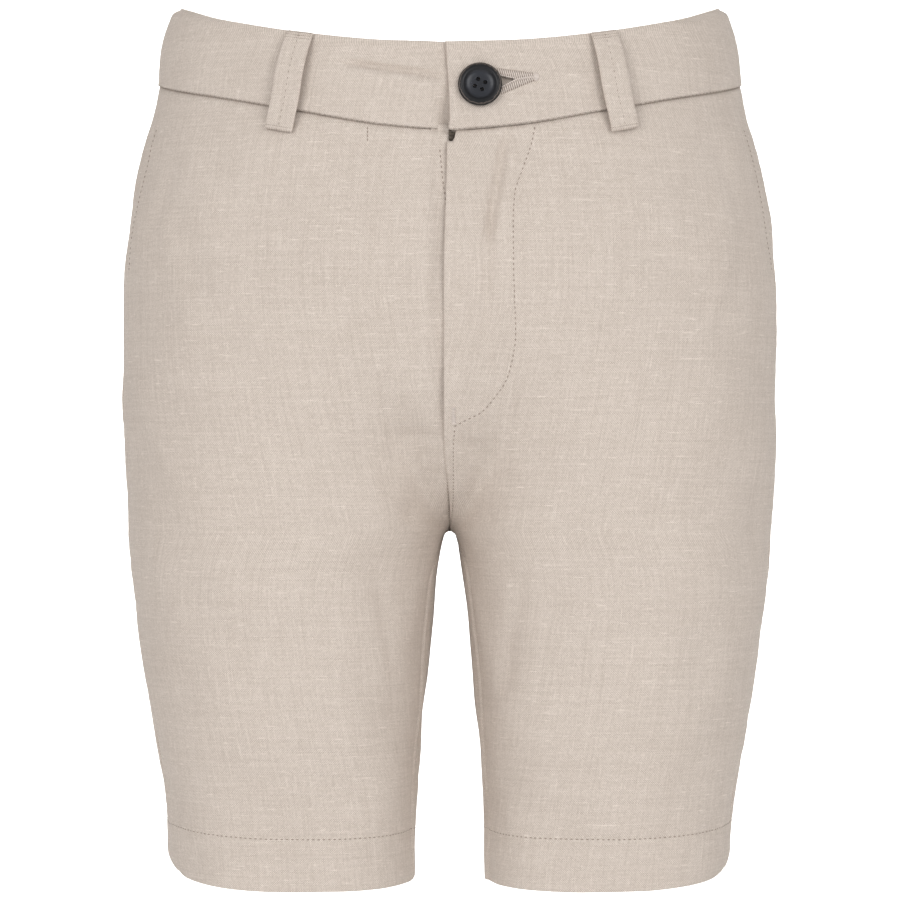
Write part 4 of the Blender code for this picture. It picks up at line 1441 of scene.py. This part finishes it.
low_front = section("front", BUTTON_HEIGHT - SLOPE_SPAN)
high_front = section("front", BUTTON_HEIGHT + SLOPE_SPAN)
button_out = unit(np.array([0.0, -2 * SLOPE_SPAN, float(low_front - high_front)]))
button_right = np.array([1.0, 0.0, 0.0])
button_up = np.cross(button_out, button_right)
button_base = torso(angle_at(BUTTON_X, BUTTON_HEIGHT), BUTTON_HEIGHT)


def on_button(radius, turn, height):
    """A point from its radius, angle and height over the skin, in the button's own frame."""
    across = radius * np.cos(turn)
    up = radius * np.sin(turn)
    parts = (across, button_right), (up, button_up), (height, button_out)
    return button_base + sum(np.asarray(size)[..., None] * way for size, way in parts)


print("the button faces", np.round(button_out, 3))

# %% Turned form with four holes
FRONT = BUTTON_BACK + BUTTON_THICK
# Radius, and depth below the highest ring of the rim, from the middle of the face outwards.
BUTTON_FACE = (
    (0.0, 1.52), (2.0, 1.50), (3.8, 1.40), (5.0, 1.18), (5.9, 0.78), (6.5, 0.30), (6.95, 0.05),
    (7.4, 0.0), (7.75, 0.06), (7.95, 0.22), (8.1, 0.22), (8.35, 0.24), (8.7, 0.55), (8.93, 1.0),
    (BUTTON_RADIUS, 1.5), (8.8, 2.1), (8.2, 2.6), (7.2, 2.88), (0.0, BUTTON_THICK),
)
# Share of the radius, and the horn's colour there, from the dish over the rim to the edge. The
# lightest is the fine line.
HORN_TONES = (
    (0.0, (0.013, 0.014, 0.018)),
    (0.55, (0.020, 0.022, 0.029)),
    (0.68, (0.006, 0.006, 0.008)),
    (0.89, (0.004, 0.004, 0.005)),
    (0.925, (0.105, 0.082, 0.070)),
    (0.955, (0.006, 0.006, 0.006)),
)


def turned_button(sides=96):
    """Grid of the profile, made finer by a smooth curve through it, spun round the axis."""
    radius, below = np.array(BUTTON_FACE).T
    fine = np.linspace(0, len(radius) - 1, 4 * len(radius) - 3)
    rows = np.arange(len(radius), dtype=float)
    radius, below = smooth_through(fine, rows, radius), smooth_through(fine, rows, below)
    turn = np.linspace(0, 2 * np.pi, sides + 1)[None, :]
    return on_button(radius[:, None] + 0 * turn, turn, (FRONT - below)[:, None] + 0 * turn)


def bake_cut(target, cutters):
    """Cuts the cutters from the target, keeps the result as its mesh and removes the cutters."""
    for cutter in cutters:
        hole = target.modifiers.new(cutter.name, "BOOLEAN")
        hole.operation = "DIFFERENCE"
        hole.object = cutter
    graph = bpy.context.evaluated_depsgraph_get()
    mesh = bpy.data.meshes.new_from_object(target.evaluated_get(graph))
    target.modifiers.clear()
    target.data = mesh
    for cutter in cutters:
        bpy.data.objects.remove(cutter, do_unlink=True)


def welded(target):
    """Merges doubled points where a spun grid closes, and turns all faces outwards."""
    work = bmesh.new()
    work.from_mesh(target.data)
    bmesh.ops.remove_doubles(work, verts=work.verts, dist=0.000002)
    bmesh.ops.recalc_face_normals(work, faces=work.faces)
    work.to_mesh(target.data)
    work.free()


def rod(name, centre_turn, sides=20):
    """Closed rod along the button's axis at one hole, as an object to cut with."""
    low, high = BUTTON_BACK - 2.0, FRONT + 2.0
    turn = np.linspace(0, 2 * np.pi, sides + 1)[None, :]
    wide = np.array([0.0, HOLE_RADIUS, HOLE_RADIUS, 0.0])[:, None] + 0 * turn
    tall = np.array([high, high, low, low])[:, None] + 0 * turn
    middle = on_button(np.array(HOLE_RING), np.array(centre_turn), np.array(0.0)) - button_base
    made = add_piece(name, grid_mesh(name, on_button(wide, turn, tall) + middle, 1), horn)
    welded(made)
    return made


def ringed_horn(name):
    """Near-black horn: tone by the distance from the button's axis, with a fine lighter line on
    the rim, a cooler and slightly lighter dish, and slow mottling."""
    made, nodes, links, shader = new_material(name, 0.30)
    place = nodes.new("ShaderNodeTexCoord").outputs["Object"]
    centre = nodes.new("ShaderNodeVectorMath")
    centre.operation = "SUBTRACT"
    links.new(place, centre.inputs[0])
    centre.inputs[1].default_value = on_button(np.array(0.0), np.array(0.0), np.array(FRONT)) * MM
    across = nodes.new("ShaderNodeVectorMath")
    across.operation = "CROSS_PRODUCT"
    links.new(centre.outputs[0], across.inputs[0])
    across.inputs[1].default_value = button_out
    distance = nodes.new("ShaderNodeVectorMath")
    distance.operation = "LENGTH"
    links.new(across.outputs[0], distance.inputs[0])
    op = maths(nodes, links)
    share = op("MULTIPLY", distance.outputs["Value"], 1 / (BUTTON_RADIUS * MM))
    mottle = stretched_noise(nodes, links, place, (0.0016, 0.0016, 0.0010), 4.0)
    shifted = op("MULTIPLY_ADD", mottle, 0.16, op("ADD", share, -0.08))
    ramp = nodes.new("ShaderNodeValToRGB")
    while len(ramp.color_ramp.elements) < len(HORN_TONES):
        ramp.color_ramp.elements.new(0.5)
    for element, (position, colour) in zip(ramp.color_ramp.elements, HORN_TONES):
        element.position = position
        element.color = (*colour, 1.0)
    links.new(shifted, ramp.inputs["Fac"])
    links.new(ramp.outputs["Color"], shader.inputs["Base Color"])
    shader.inputs["Specular IOR Level"].default_value = 0.35
    return made


horn = ringed_horn("horn")
button = add_piece("waist_button", grid_mesh("waist_button", turned_button(), 1), horn)
welded(button)
hole_turns = [math.radians(HOLE_TURN + 90.0 * number) for number in range(4)]
bake_cut(button, [rod(f"hole_{number}", turn) for number, turn in enumerate(hole_turns)])
print("the button has", len(button.data.polygons), "faces")

# %% Thread of the button
SHANK_RADIUS, SHANK_WINDS, SHANK_BEADS = 0.9, 4, 60
PLUG_DEPTH = 2.75
NEAR_BLACK = (0.006, 0.006, 0.008)
dark_thread = thread_material("button_thread", NEAR_BLACK, 0.9)


def button_threads():
    """A plug of dark thread low in each hole, and the wound shank under the button, as beads."""
    turns = np.array(hole_turns)
    low = FRONT - PLUG_DEPTH + 0 * turns
    knots = on_button(HOLE_RING + 0 * turns, turns, low)
    inwards = knots - on_button(0 * turns, turns, low)
    plugs = placed(bead(0.8, 0.0, 7, 10), knots, inwards, button_out + 0 * knots, (0.7, 0.6, 0.4))
    turn = np.linspace(0, 2 * np.pi * SHANK_WINDS, SHANK_BEADS)
    heights = np.linspace(0.2, BUTTON_BACK + 0.6, SHANK_BEADS)
    wound = on_button(SHANK_RADIUS + 0 * turn, turn, heights)
    ways = np.gradient(wound, axis=0)
    out = wound - on_button(0 * turn, turn, heights)
    return [plugs, placed(stitch_bead, wound, ways, out, (0.75, 0.25, 0.3))]


wound_thread = joined_mesh("button_thread", button_threads())
button_thread = add_piece("button_thread", wound_thread, dark_thread)
print("button thread made")

# %% [markdown]
# ## Stitches
# Every line of sewing is made of single stitches, because on plain cloth they are what tells a
# maker's eye that a seam is real. A line is a path on the finished cloth: a row or column of
# the panel's grid, or a curve given by a few points in front view and dropped onto the cloth.
# Stitches are laid along it at an even pitch, half sunk. A bartack is the same bead, crowded
# into a bar across the line.

# %% Lines on the cloth
STITCH_PITCH, STITCH_LENGTH, STITCH_RADIUS = 2.2, 1.1, 0.21
STITCH_SUNK = 0.35
TACK_PITCH, TACK_LIFT, TACK_WOBBLE, TACK_THICK = 0.42, 0.16, 0.12, (0.2, 0.24)


def along_line(points, pitch):
    """Places every pitch mm along a line, as (points, directions)."""
    run = np.concatenate([[0], np.cumsum(np.linalg.norm(np.diff(points, axis=0), axis=1))])
    at = np.arange(pitch / 2, run[-1], pitch)

    def place(where):
        return np.stack([np.interp(where, run, points[:, axis]) for axis in range(3)], axis=-1)

    return place(at), unit(place(at + 0.4) - place(at - 0.4))


def dropped(grid, x, z):
    """Places on the cloth at these x and z, and its normals there, from the nearest grid points."""
    normal, _, _ = directions(grid)
    flat, normals = grid.reshape(-1, 3), normal.reshape(-1, 3)
    apart = (flat[None, :, 0] - x[:, None]) ** 2 + (flat[None, :, 2] - z[:, None]) ** 2
    nearest = np.argmin(apart, axis=1)
    near, out = flat[nearest], normals[nearest]
    y = near[:, 1] - (out[:, 0] * (x - near[:, 0]) + out[:, 2] * (z - near[:, 2])) / out[:, 1]
    return np.stack([x, y, z], axis=-1), out


def nearest_normals(grid, points):
    """Normals of the cloth near these points. Every third grid point is close enough."""
    normal, _, _ = directions(grid)
    flat, normals = grid.reshape(-1, 3), normal.reshape(-1, 3)
    apart = np.sum((points[:, None] - flat[None, ::3]) ** 2, axis=-1)
    return normals[::3][np.argmin(apart, axis=1)]


def curve(points, count=160):
    """A smooth curve in front view through a few points, as x and z."""
    x, z = np.array(points, float).T
    run = np.concatenate([[0], np.cumsum(np.hypot(np.diff(x), np.diff(z)))])
    at = np.linspace(0, run[-1], count)
    return smooth_through(at, run, x), smooth_through(at, run, z)


def sewn(grid, line, pitch=STITCH_PITCH, length=STITCH_LENGTH, radius=STITCH_RADIUS):
    """Stitches along a line on a grid, as one group of beads."""
    centres, ways = along_line(line, pitch)
    out = nearest_normals(grid, centres)
    centres = centres + STITCH_SUNK * radius * out
    return placed(stitch_bead, centres, ways, out, (length / 2, radius, radius))


def bartack(grid, start, end, width):
    """A bar of crowded stitches across the line from start to end, both given as (x, z)."""
    x, z = curve((start, end), 60)
    centres, ways = along_line(dropped(grid, x, z)[0], TACK_PITCH)
    out = nearest_normals(grid, centres)
    lift = TACK_LIFT + TACK_WOBBLE * np.cos(np.pi * np.arange(len(centres)))[:, None]
    size = (width / 2, *TACK_THICK)
    return placed(stitch_bead, centres + lift * out, np.cross(out, ways), out, size)


print("stitches", STITCH_LENGTH, "mm long, every", STITCH_PITCH, "mm")

# %% Sewing on the panels
# Lines of stitches on a front or back, by a few of their points: distance from the middle plane
# and height. A tack is a start, an end and a width.
FLY_STITCHING = (
    (34.6, -25.2), (33.2, -32.0), (29.3, -43.4), (26.2, -53.1), (25.6, -65.3), (25.8, -84.8),
    (26.6, -111.2), (25.7, -118.1), (23.2, -127.8), (18.0, -135.9), (12.3, -142.0),
    (5.4, -145.4), (2.0, -147.3),
)
FLY_TACK = ((1.4, -139.6), (1.4, -146.8), 1.9)
FLY_FOOT = -148.0
RIGHT_EDGE_STITCHING = ((4.2, -34.5), (2.8, -48.7), (1.9, -55.6), (1.6, -64.0))
# The end of a tack that shows on the right front, just under the band.
RIGHT_MARK = ((33.6, -25.5), (33.4, -31.6))
DART = ((57.0, -9.0), (52.0, -92.0))
# Lines beside a seam, as heights and distances from it.
BACK_SEAM_STITCHING = ((-12.0, 1.4), (CROTCH, 1.4))
POCKET_STITCH = ((-9.0, 16.0), (-30.0, 17.0), (-60.0, 14.5), (-86.0, 10.5))


def hem_line(grid):
    """The line of the hem's stitches: each column, this far above its free edge."""
    above = np.abs(run_length(grid, 0, -1))
    row = np.argmin(np.abs(above - HEM_DEPTH), axis=0)
    return grid[row, np.arange(grid.shape[1])]


def column_line(grid, inset, top, foot, last=False):
    """A line down the panel beside its first or last column. inset is a table of heights and
    distances from that column."""
    from_edge = np.abs(run_length(grid, 1, -1 if last else 0))
    heights = grid[:, MIDDLE_COLUMN, 2]
    rows = np.flatnonzero((heights < top) & (heights > foot))
    levels, distances = np.array(inset).T
    wanted = np.interp(-heights[rows], -levels, distances)
    order = slice(None, None, -1) if last else slice(None)
    points = [
        [np.interp(away, from_edge[row][order], grid[row, order, axis]) for axis in range(3)]
        for row, away in zip(rows, wanted)
    ]
    return np.array(points)


def panel_stitches(name, grid):
    """All the sewing that shows on one panel, in groups."""
    groups = [sewn(grid, hem_line(grid))]
    if name.startswith("back"):
        groups.append(sewn(grid, dropped(grid, *curve(DART))[0]))
        groups.append(sewn(grid, column_line(grid, BACK_SEAM_STITCHING, -12.0, CROTCH)))
        return groups
    groups.append(sewn(grid, column_line(grid, POCKET_STITCH, -30.0, -86.0)))
    beside = 4.4 if name == "front_left" else 1.1
    below = ((FLY_FOOT, beside), (CROTCH, 0.9))
    below_fly = column_line(grid, below, FLY_FOOT, CROTCH + 1.0, last=True)
    groups.append(sewn(grid, below_fly))
    if name == "front_left":
        groups.append(sewn(grid, dropped(grid, *curve(FLY_STITCHING))[0]))
    else:
        groups.append(sewn(grid, dropped(grid, *curve(RIGHT_EDGE_STITCHING))[0]))
        groups.append(sewn(grid, dropped(grid, *curve(RIGHT_MARK))[0], 1.6, 1.2))
    return groups


# Brown thread, far darker than the linen: partly the thread's own colour and partly painted shade,
# standing for the shadow in the needle holes and seam grooves along every line of stitches.
THREAD_BROWN_WITH_PAINTED_SHADE = (0.30, 0.240, 0.195)
thread = thread_material("thread", THREAD_BROWN_WITH_PAINTED_SHADE)
sewing = {}
for name in PANELS:
    side = 1 if name.endswith("left") else -1
    mesh = joined_mesh(name + "_stitches", panel_stitches(name, faces[name]), side)
    sewing[name] = add_piece(name + "_stitches", mesh, thread)
    print(name, "has", len(mesh.polygons) // len(stitch_bead[1]), "stitches")

# %% Sewing on the waistband and its buttonhole
PURL_PITCH, PURL_START = 0.86, 4.0
LIP_END, LIP_SLOPE = 1.3, 0.27
PURL_LEAN, PURL_SPREAD = 0.25, 0.15
# Half lengths of the upright bars at the far end, and the way from one to the next.
END_BARS, END_BAR_PITCH = (2.0, 2.1, 1.7, 1.1), 0.45
BAND_STITCH_PITCH, BAND_STITCH_RISE, BAND_STITCH_SIZE = 2.3, 0.28, (0.45, 0.15, 0.2)
UNDER_STITCHED_TO = -1.0
PURL_PALE = (0.70, 0.62, 0.565)
purl_thread = thread_material("purl_thread", PURL_PALE, 0.6)


def seam_ditch(grid):
    """The line just under the waistband's outer edge, where its stitches sink into the seam."""
    return grid[-3]


def outer_face(grid):
    """The rows of the band's outer layer alone."""
    return grid[-3 - BAND_ROWS : -3]


def button_end(grid):
    """The part of the outer layer in front where the buttonhole lies."""
    outer = outer_face(grid)
    middle = outer[BAND_ROWS // 2]
    return outer[:, (middle[:, 0] < 60) & (middle[:, 1] < 0)]


def on_slit(grid, along, above):
    """Places on the band from their distance along the buttonhole and above its line."""
    tilt = math.radians(BUTTONHOLE_TILT)
    x = BUTTON_X + along * math.cos(tilt) - above * math.sin(tilt)
    z = BUTTON_HEIGHT + BUTTONHOLE_RISE + along * math.sin(tilt) + above * math.cos(tilt)
    return dropped(grid, x, z)


def lip(along):
    """How far a lip of the buttonhole reaches from its line."""
    return LIP_END + LIP_SLOPE * (BUTTONHOLE_LENGTH - along)


def bars(grid, along, inner, outer, lift, longer, thick):
    """Bars across a lip, one for each place along it, from its inner to its outer edge."""
    start, out = on_slit(grid, along + PURL_LEAN * np.sign(inner), inner)
    end, _ = on_slit(grid, along - PURL_SPREAD * np.sign(inner), outer)
    half = np.linalg.norm(end - start, axis=1) / 2 + longer
    size = np.stack([half, thick[0] + 0 * along, thick[1] + 0 * along], axis=-1)
    return placed(stitch_bead, (start + end) / 2 + lift * out, end - start, out, size)


def purl_gap_shade(grid):
    """Dark brown bars between and just past the purls of both lips: painted shade between the
    purls.
    """
    along = np.arange(PURL_START + PURL_PITCH / 2, BUTTONHOLE_LENGTH - 0.5, PURL_PITCH)
    inner, outer = slit_half(along) + 0.3, lip(along) + 0.35
    return [
        bars(grid, along, sign * inner, sign * outer, 0.2, 0.0, (0.22, 0.3)) for sign in (1, -1)
    ]


def purls(grid):
    """Buttonhole stitch: bars across both lips, a knot at the inner end of each, and a tack of
    upright bars at the far end."""
    groups = []
    along = np.arange(PURL_START, BUTTONHOLE_LENGTH - 0.3, PURL_PITCH)
    inner, outer = slit_half(along) + 0.02, lip(along) + 0.10 * np.sin(7.1 * along)
    for sign in (1, -1):
        groups.append(bars(grid, along, sign * inner, sign * outer, 0.25, 0.1, (0.31, 0.55)))
        knots, out = on_slit(grid, along + PURL_LEAN, sign * inner)
        ways = np.gradient(knots, axis=0)
        groups.append(placed(stitch_bead, knots + 0.35 * out, ways, out, (0.40, 0.34, 0.5)))
    tall = np.array(END_BARS)
    far = BUTTONHOLE_LENGTH + END_BAR_PITCH * np.arange(len(tall))
    middle, out = on_slit(grid, far, 0 * far)
    above, _ = on_slit(grid, far, 0 * far + 1.0)
    sizes = np.stack([tall, 0.26 + 0 * tall, 0.4 + 0 * tall], axis=-1)
    groups.append(placed(stitch_bead, middle + 0.2 * out, above - middle, out, sizes))
    return groups


button_side = button_end(band_faces["waistband_left"])
for name, side in (("waistband_left", 1), ("waistband_right", -1)):
    grid = band_faces[name]
    line = seam_ditch(grid)
    if side == -1:
        # The stitches of the half underneath stop where the other half covers them.
        line = line[line[:, 0] > UNDER_STITCHED_TO]
    centres, ways = along_line(line, BAND_STITCH_PITCH)
    out = nearest_normals(outer_face(grid), centres)
    centres = centres + BAND_STITCH_RISE * out
    groups = [placed(stitch_bead, centres, ways, out, BAND_STITCH_SIZE)]
    if side == 1:
        # Painted shade between the purls, as dark bars of brown thread.
        groups += purl_gap_shade(button_side)
    mesh = joined_mesh(name + "_stitches", groups, side)
    sewing[name] = add_piece(name + "_stitches", mesh, thread)
    print(name, "has", len(mesh.polygons) // len(stitch_bead[1]), "stitches")
pale = [*purls(button_side), bartack(faces["front_left"], *FLY_TACK)]
buttonhole = add_piece("pale_stitches", joined_mesh("pale_stitches", pale), purl_thread)
purl_count = len(buttonhole.data.polygons) // len(stitch_bead[1])
print("the buttonhole and fly tack have", purl_count, "purls")

# %% Sewing on the belt loops
# Shares of the loop's length at which it is tacked down: three rows at the top, one at the foot.
LOOP_TACKS = (0.018, 0.048, 0.078, 0.965)
LOOP_STITCH_PITCH, LOOP_STITCH_SIZE, LOOP_STITCH_SUNK = 2.7, (0.5, 0.12, 0.15), 0.12
TACK_SPAN, TACK_STITCHES, TACK_SIZE, TACK_SUNK = 4.7, 12, (0.34, 0.13, 0.15), 0.05


def loop_stitches(behind, top_x, foot_x):
    """A line of small stitches down the middle, three rows of tacking at the top and one at the
    foot."""
    level = BAND_PROUD + SEAM_GAP + LOOP_CLOTH
    t = np.linspace(0.02, 0.98, 120)
    points, normal = loop_line(behind, top_x, foot_x, loop_wander(t, top_x), t)
    line = points + normal * (level + loop_bow(t) - LOOP_STITCH_SUNK)[:, None]
    centres, ways = along_line(line, LOOP_STITCH_PITCH)
    _, out = loop_line(behind, top_x, foot_x, 0.0, np.linspace(0, 1, len(centres)))
    groups = [placed(stitch_bead, centres, ways, out, LOOP_STITCH_SIZE)]
    for at in LOOP_TACKS:
        across = np.linspace(-TACK_SPAN, TACK_SPAN, TACK_STITCHES)
        points, normal = loop_line(behind, top_x, foot_x, across, at + 0 * across)
        points = points + normal * (level + loop_bow(at) - TACK_SUNK)
        ways = np.gradient(points, axis=0)
        groups.append(placed(stitch_bead, points, ways, normal, TACK_SIZE))
    return groups


for name, side, behind, top_x, foot_x in LOOPS:
    mesh = joined_mesh(name + "_stitches", loop_stitches(behind, top_x, foot_x), side)
    sewing[name] = add_piece(name + "_stitches", mesh, thread)
print("belt loops are stitched")

# %% [markdown]
# ## Room and light
# The shorts hang in the air where a body would hold them, in front of a pale floor that curves
# up into a pale wall, so no corner shows. The light is that of a tent of white cloth: even from
# all round, and stronger from two soft boxes in front, so that the cloth darkens softly where
# it turns away and in between the legs. Two more lights brighten only the wall.

# %% Floor that curves up behind
FLOOR_HEIGHT = -0.95
FLOOR_FRONT, WALL_AT, CURVE_RADIUS = -4.0, 2.6, 1.2
WALL_TOP, HALF_WIDTH = 4.0, 6.0


def sweep_grid(count=48):
    """Profile of floor, quarter circle and wall, carried straight along X."""
    turn = np.linspace(0, np.pi / 2, count)
    curve_y = WALL_AT - CURVE_RADIUS + CURVE_RADIUS * np.sin(turn)
    curve_z = FLOOR_HEIGHT + CURVE_RADIUS - CURVE_RADIUS * np.cos(turn)
    y = np.concatenate([[FLOOR_FRONT], curve_y, [WALL_AT]])
    z = np.concatenate([[FLOOR_HEIGHT], curve_z, [WALL_TOP]])
    x = np.linspace(HALF_WIDTH, -HALF_WIDTH, 2)
    profile = np.stack([0 * y, y, z], axis=-1)
    return profile[:, None] + x[None, :, None] * np.array([1.0, 0.0, 0.0])


sweep_material, _, _, sweep_shader = new_material("pale_paper", 0.95)
sweep_shader.inputs["Base Color"].default_value = (0.95, 0.95, 0.95, 1.0)
sweep_shader.inputs["Specular IOR Level"].default_value = 0.1
sweep = add_piece("sweep", grid_mesh("sweep", sweep_grid() / MM, 1), sweep_material)
print("the floor is", FLOOR_HEIGHT, "m below the waist")

# %% Tent light, soft boxes and lights on the wall
TENT_STRENGTH = 0.60
BOX_POWER = 28.0
WALL_POWER = 20.0
# Name, place, aim, width, height and power.
LIGHTS = (
    ("box_left", (1.5, -2.6, 0.7), (0.0, 0.0, -0.15), 1.3, 1.6, BOX_POWER),
    ("box_right", (-1.5, -2.6, 0.7), (0.0, 0.0, -0.15), 1.3, 1.6, BOX_POWER),
    ("wall_left", (1.0, 1.9, -0.1), (0.1, 2.6, -0.15), 0.4, 1.0, WALL_POWER),
    ("wall_right", (-1.0, 1.9, -0.1), (-0.1, 2.6, -0.15), 0.4, 1.0, WALL_POWER),
)

world = bpy.data.worlds.new("tent")
world.use_nodes = True
world.node_tree.nodes["Background"].inputs["Color"].default_value = (1.0, 1.0, 1.0, 1.0)
world.node_tree.nodes["Background"].inputs["Strength"].default_value = TENT_STRENGTH
bpy.context.scene.world = world
for name, place, aim, width, height, light_power in LIGHTS:
    light = bpy.data.objects.new(name, bpy.data.lights.new(name, "AREA"))
    light.data.shape = "RECTANGLE"
    light.data.size, light.data.size_y = width, height
    light.data.energy = light_power
    light.location = place
    light.rotation_euler = (Vector(aim) - Vector(place)).to_track_quat("-Z", "Y").to_euler()
    bpy.context.scene.collection.objects.link(light)
bpy.context.scene.view_settings.view_transform = "Standard"
print("tent", TENT_STRENGTH, "soft boxes", BOX_POWER, "W each")

# %% [markdown]
# ## Riding on the body
# Every piece rides on the one body, and the imported parts that a dressed piece replaces are
# hidden.

# %% Ride and replace
# Node, finish, width and length.
SHEETS = (
    ("front_left", "linen", 0.205, 0.345),
    ("front_right", "linen", 0.205, 0.345),
    ("back_left", "linen", 0.245, 0.360),
    ("back_right", "linen", 0.245, 0.360),
    ("waistband_left", "linen", 0.345, 0.078),
    ("waistband_right", "linen", 0.370, 0.078),
    ("pocket_bag_left", "pocketing", 0.105, 0.135),
    ("pocket_bag_right", "pocketing", 0.105, 0.135),
    ("zip_tape", "zip_tape", 0.024, 0.089),
)


def finish_piece(piece, slot, *nodes):
    """The piece rides on the body and hides these imported parts, which it replaces; slot is not
    used.
    """
    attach(piece, "root")
    if nodes:
        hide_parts(*nodes)


for node, slot, width, length in SHEETS:
    finish_piece(cloth[node], slot, node)
for node, strip in loops.items():
    finish_piece(strip, "linen", node)
for piece in [*sewing.values(), buttonhole]:
    finish_piece(piece, "linen")
for piece in (zip_teeth, zip_stop):
    finish_piece(piece, "zip_metal")
finish_piece(button, "horn", "button")
finish_piece(button_thread, "horn")
print(len(SHEETS) + len(loops), "sheets declared")
